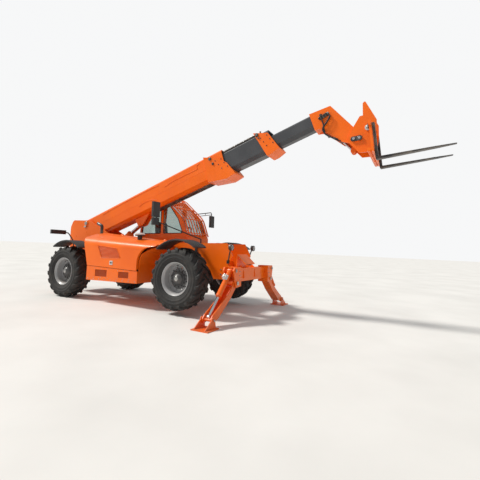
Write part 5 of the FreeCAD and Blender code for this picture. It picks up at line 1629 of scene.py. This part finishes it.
# Light and camera
@dataclass
class Studio:
    """Pale floor, soft light and the photograph's camera."""

    eye: Point = (4.18486, -6.38597, 1.36657)
    yaw: float = 0.4988742
    pitch: float = 0.1045756
    roll: float = 0.0430656
    lens: float = 24.7995
    sensor: float = 36.0
    sight: float = 500.0
    shift_y: float = -0.0552
    floor_half: float = 160.0
    sky: float = 0.45
    sun: float = 3.25
    sun_angle: float = 9.0
    sun_way: Point = (0.75, 0.35, -0.9)

    def camera(self) -> None:
        """Camera that stands where the photographer stood."""
        cy, sy = math.cos(self.yaw), math.sin(self.yaw)
        cp, sp = math.cos(self.pitch), math.sin(self.pitch)
        cr, sr = math.cos(self.roll), math.sin(self.roll)
        ahead = Vector((-sy * cp, cy * cp, sp))
        right = Vector((cy, sy, 0.0))
        up = right.cross(ahead)
        right, up = right * cr + up * sr, up * cr - right * sr
        data = bpy.data.cameras.new("camera")
        data.sensor_width, data.lens, data.shift_y = self.sensor, self.lens, self.shift_y
        data.clip_end = self.sight
        camera = bpy.data.objects.new("camera", data)
        place = Matrix((right, up, -ahead)).transposed().to_4x4()
        place.translation = Vector(self.eye)
        camera.matrix_world = place
        bpy.context.scene.collection.objects.link(camera)
        bpy.context.scene.camera = camera

    def floor(self) -> None:
        """Pale concrete floor."""
        mesh = bpy.data.meshes.new("floor")
        half = self.floor_half
        corners = [(-half, -half, 0), (half, -half, 0), (half, half, 0), (-half, half, 0)]
        mesh.from_pydata(corners, [], [(0, 1, 2, 3)])
        floor = bpy.data.objects.new("floor", mesh)
        bpy.context.scene.collection.objects.link(floor)
        bench = NodeBench("floor_concrete")
        bench.colour(bench.blend(bench.cloud(0.6, 8.0, 0.35, 0.7), (0.80, 0.79, 0.77), (0.72, 0.71, 0.69)))
        bench.bump(bench.noise(60.0, 4.0), 0.15, 0.002)
        bench.put(Roughness=0.85)
        mesh.materials.append(bench.material)

    def world(self) -> None:
        """Soft sky, shown to the camera as a pale backdrop."""
        world = bpy.data.worlds.new("studio")
        world.use_nodes = True
        tree = world.node_tree
        background = tree.nodes["Background"]
        background.inputs["Color"].default_value = (0.97, 0.985, 1.0, 1.0)
        background.inputs["Strength"].default_value = self.sky
        shown = tree.nodes.new("ShaderNodeBackground")
        shown.inputs["Color"].default_value = (0.93, 0.935, 0.94, 1.0)
        shown.inputs["Strength"].default_value = 1.0
        path = tree.nodes.new("ShaderNodeLightPath")
        mixer = tree.nodes.new("ShaderNodeMixShader")
        tree.links.new(path.outputs["Is Camera Ray"], mixer.inputs[0])
        tree.links.new(background.outputs[0], mixer.inputs[1])
        tree.links.new(shown.outputs[0], mixer.inputs[2])
        tree.links.new(mixer.outputs[0], tree.nodes["World Output"].inputs[0])
        bpy.context.scene.world = world

    def key(self) -> None:
        """One broad key light."""
        sun = bpy.data.lights.new("key", "SUN")
        sun.energy, sun.angle, sun.color = self.sun, math.radians(self.sun_angle), (1.0, 0.97, 0.91)
        key = bpy.data.objects.new("key", sun)
        key.rotation_euler = Vector(self.sun_way).to_track_quat("-Z", "Y").to_euler()
        bpy.context.scene.collection.objects.link(key)

    def build(self) -> None:
        """Camera, floor and light."""
        self.camera()
        self.floor()
        self.world()
        self.key()
        bpy.context.scene.view_settings.view_transform = "Standard"


def main(frame: dict) -> None:
    """Builds every class in order.
    """
    logging.basicConfig(level=logging.INFO, format="%(name)s: %(message)s")
    Studio().build()
    stance, finishes = Stance(), Finishes()
    Frame(stance, finishes, frame).build()
    for dress in (Wheels, EngineSide, BoomDress, Carriage, Cab, Fittings, Stabilisers):
        dress(stance, finishes).build()


if __name__ == "__main__":
    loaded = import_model()
    main(loaded)
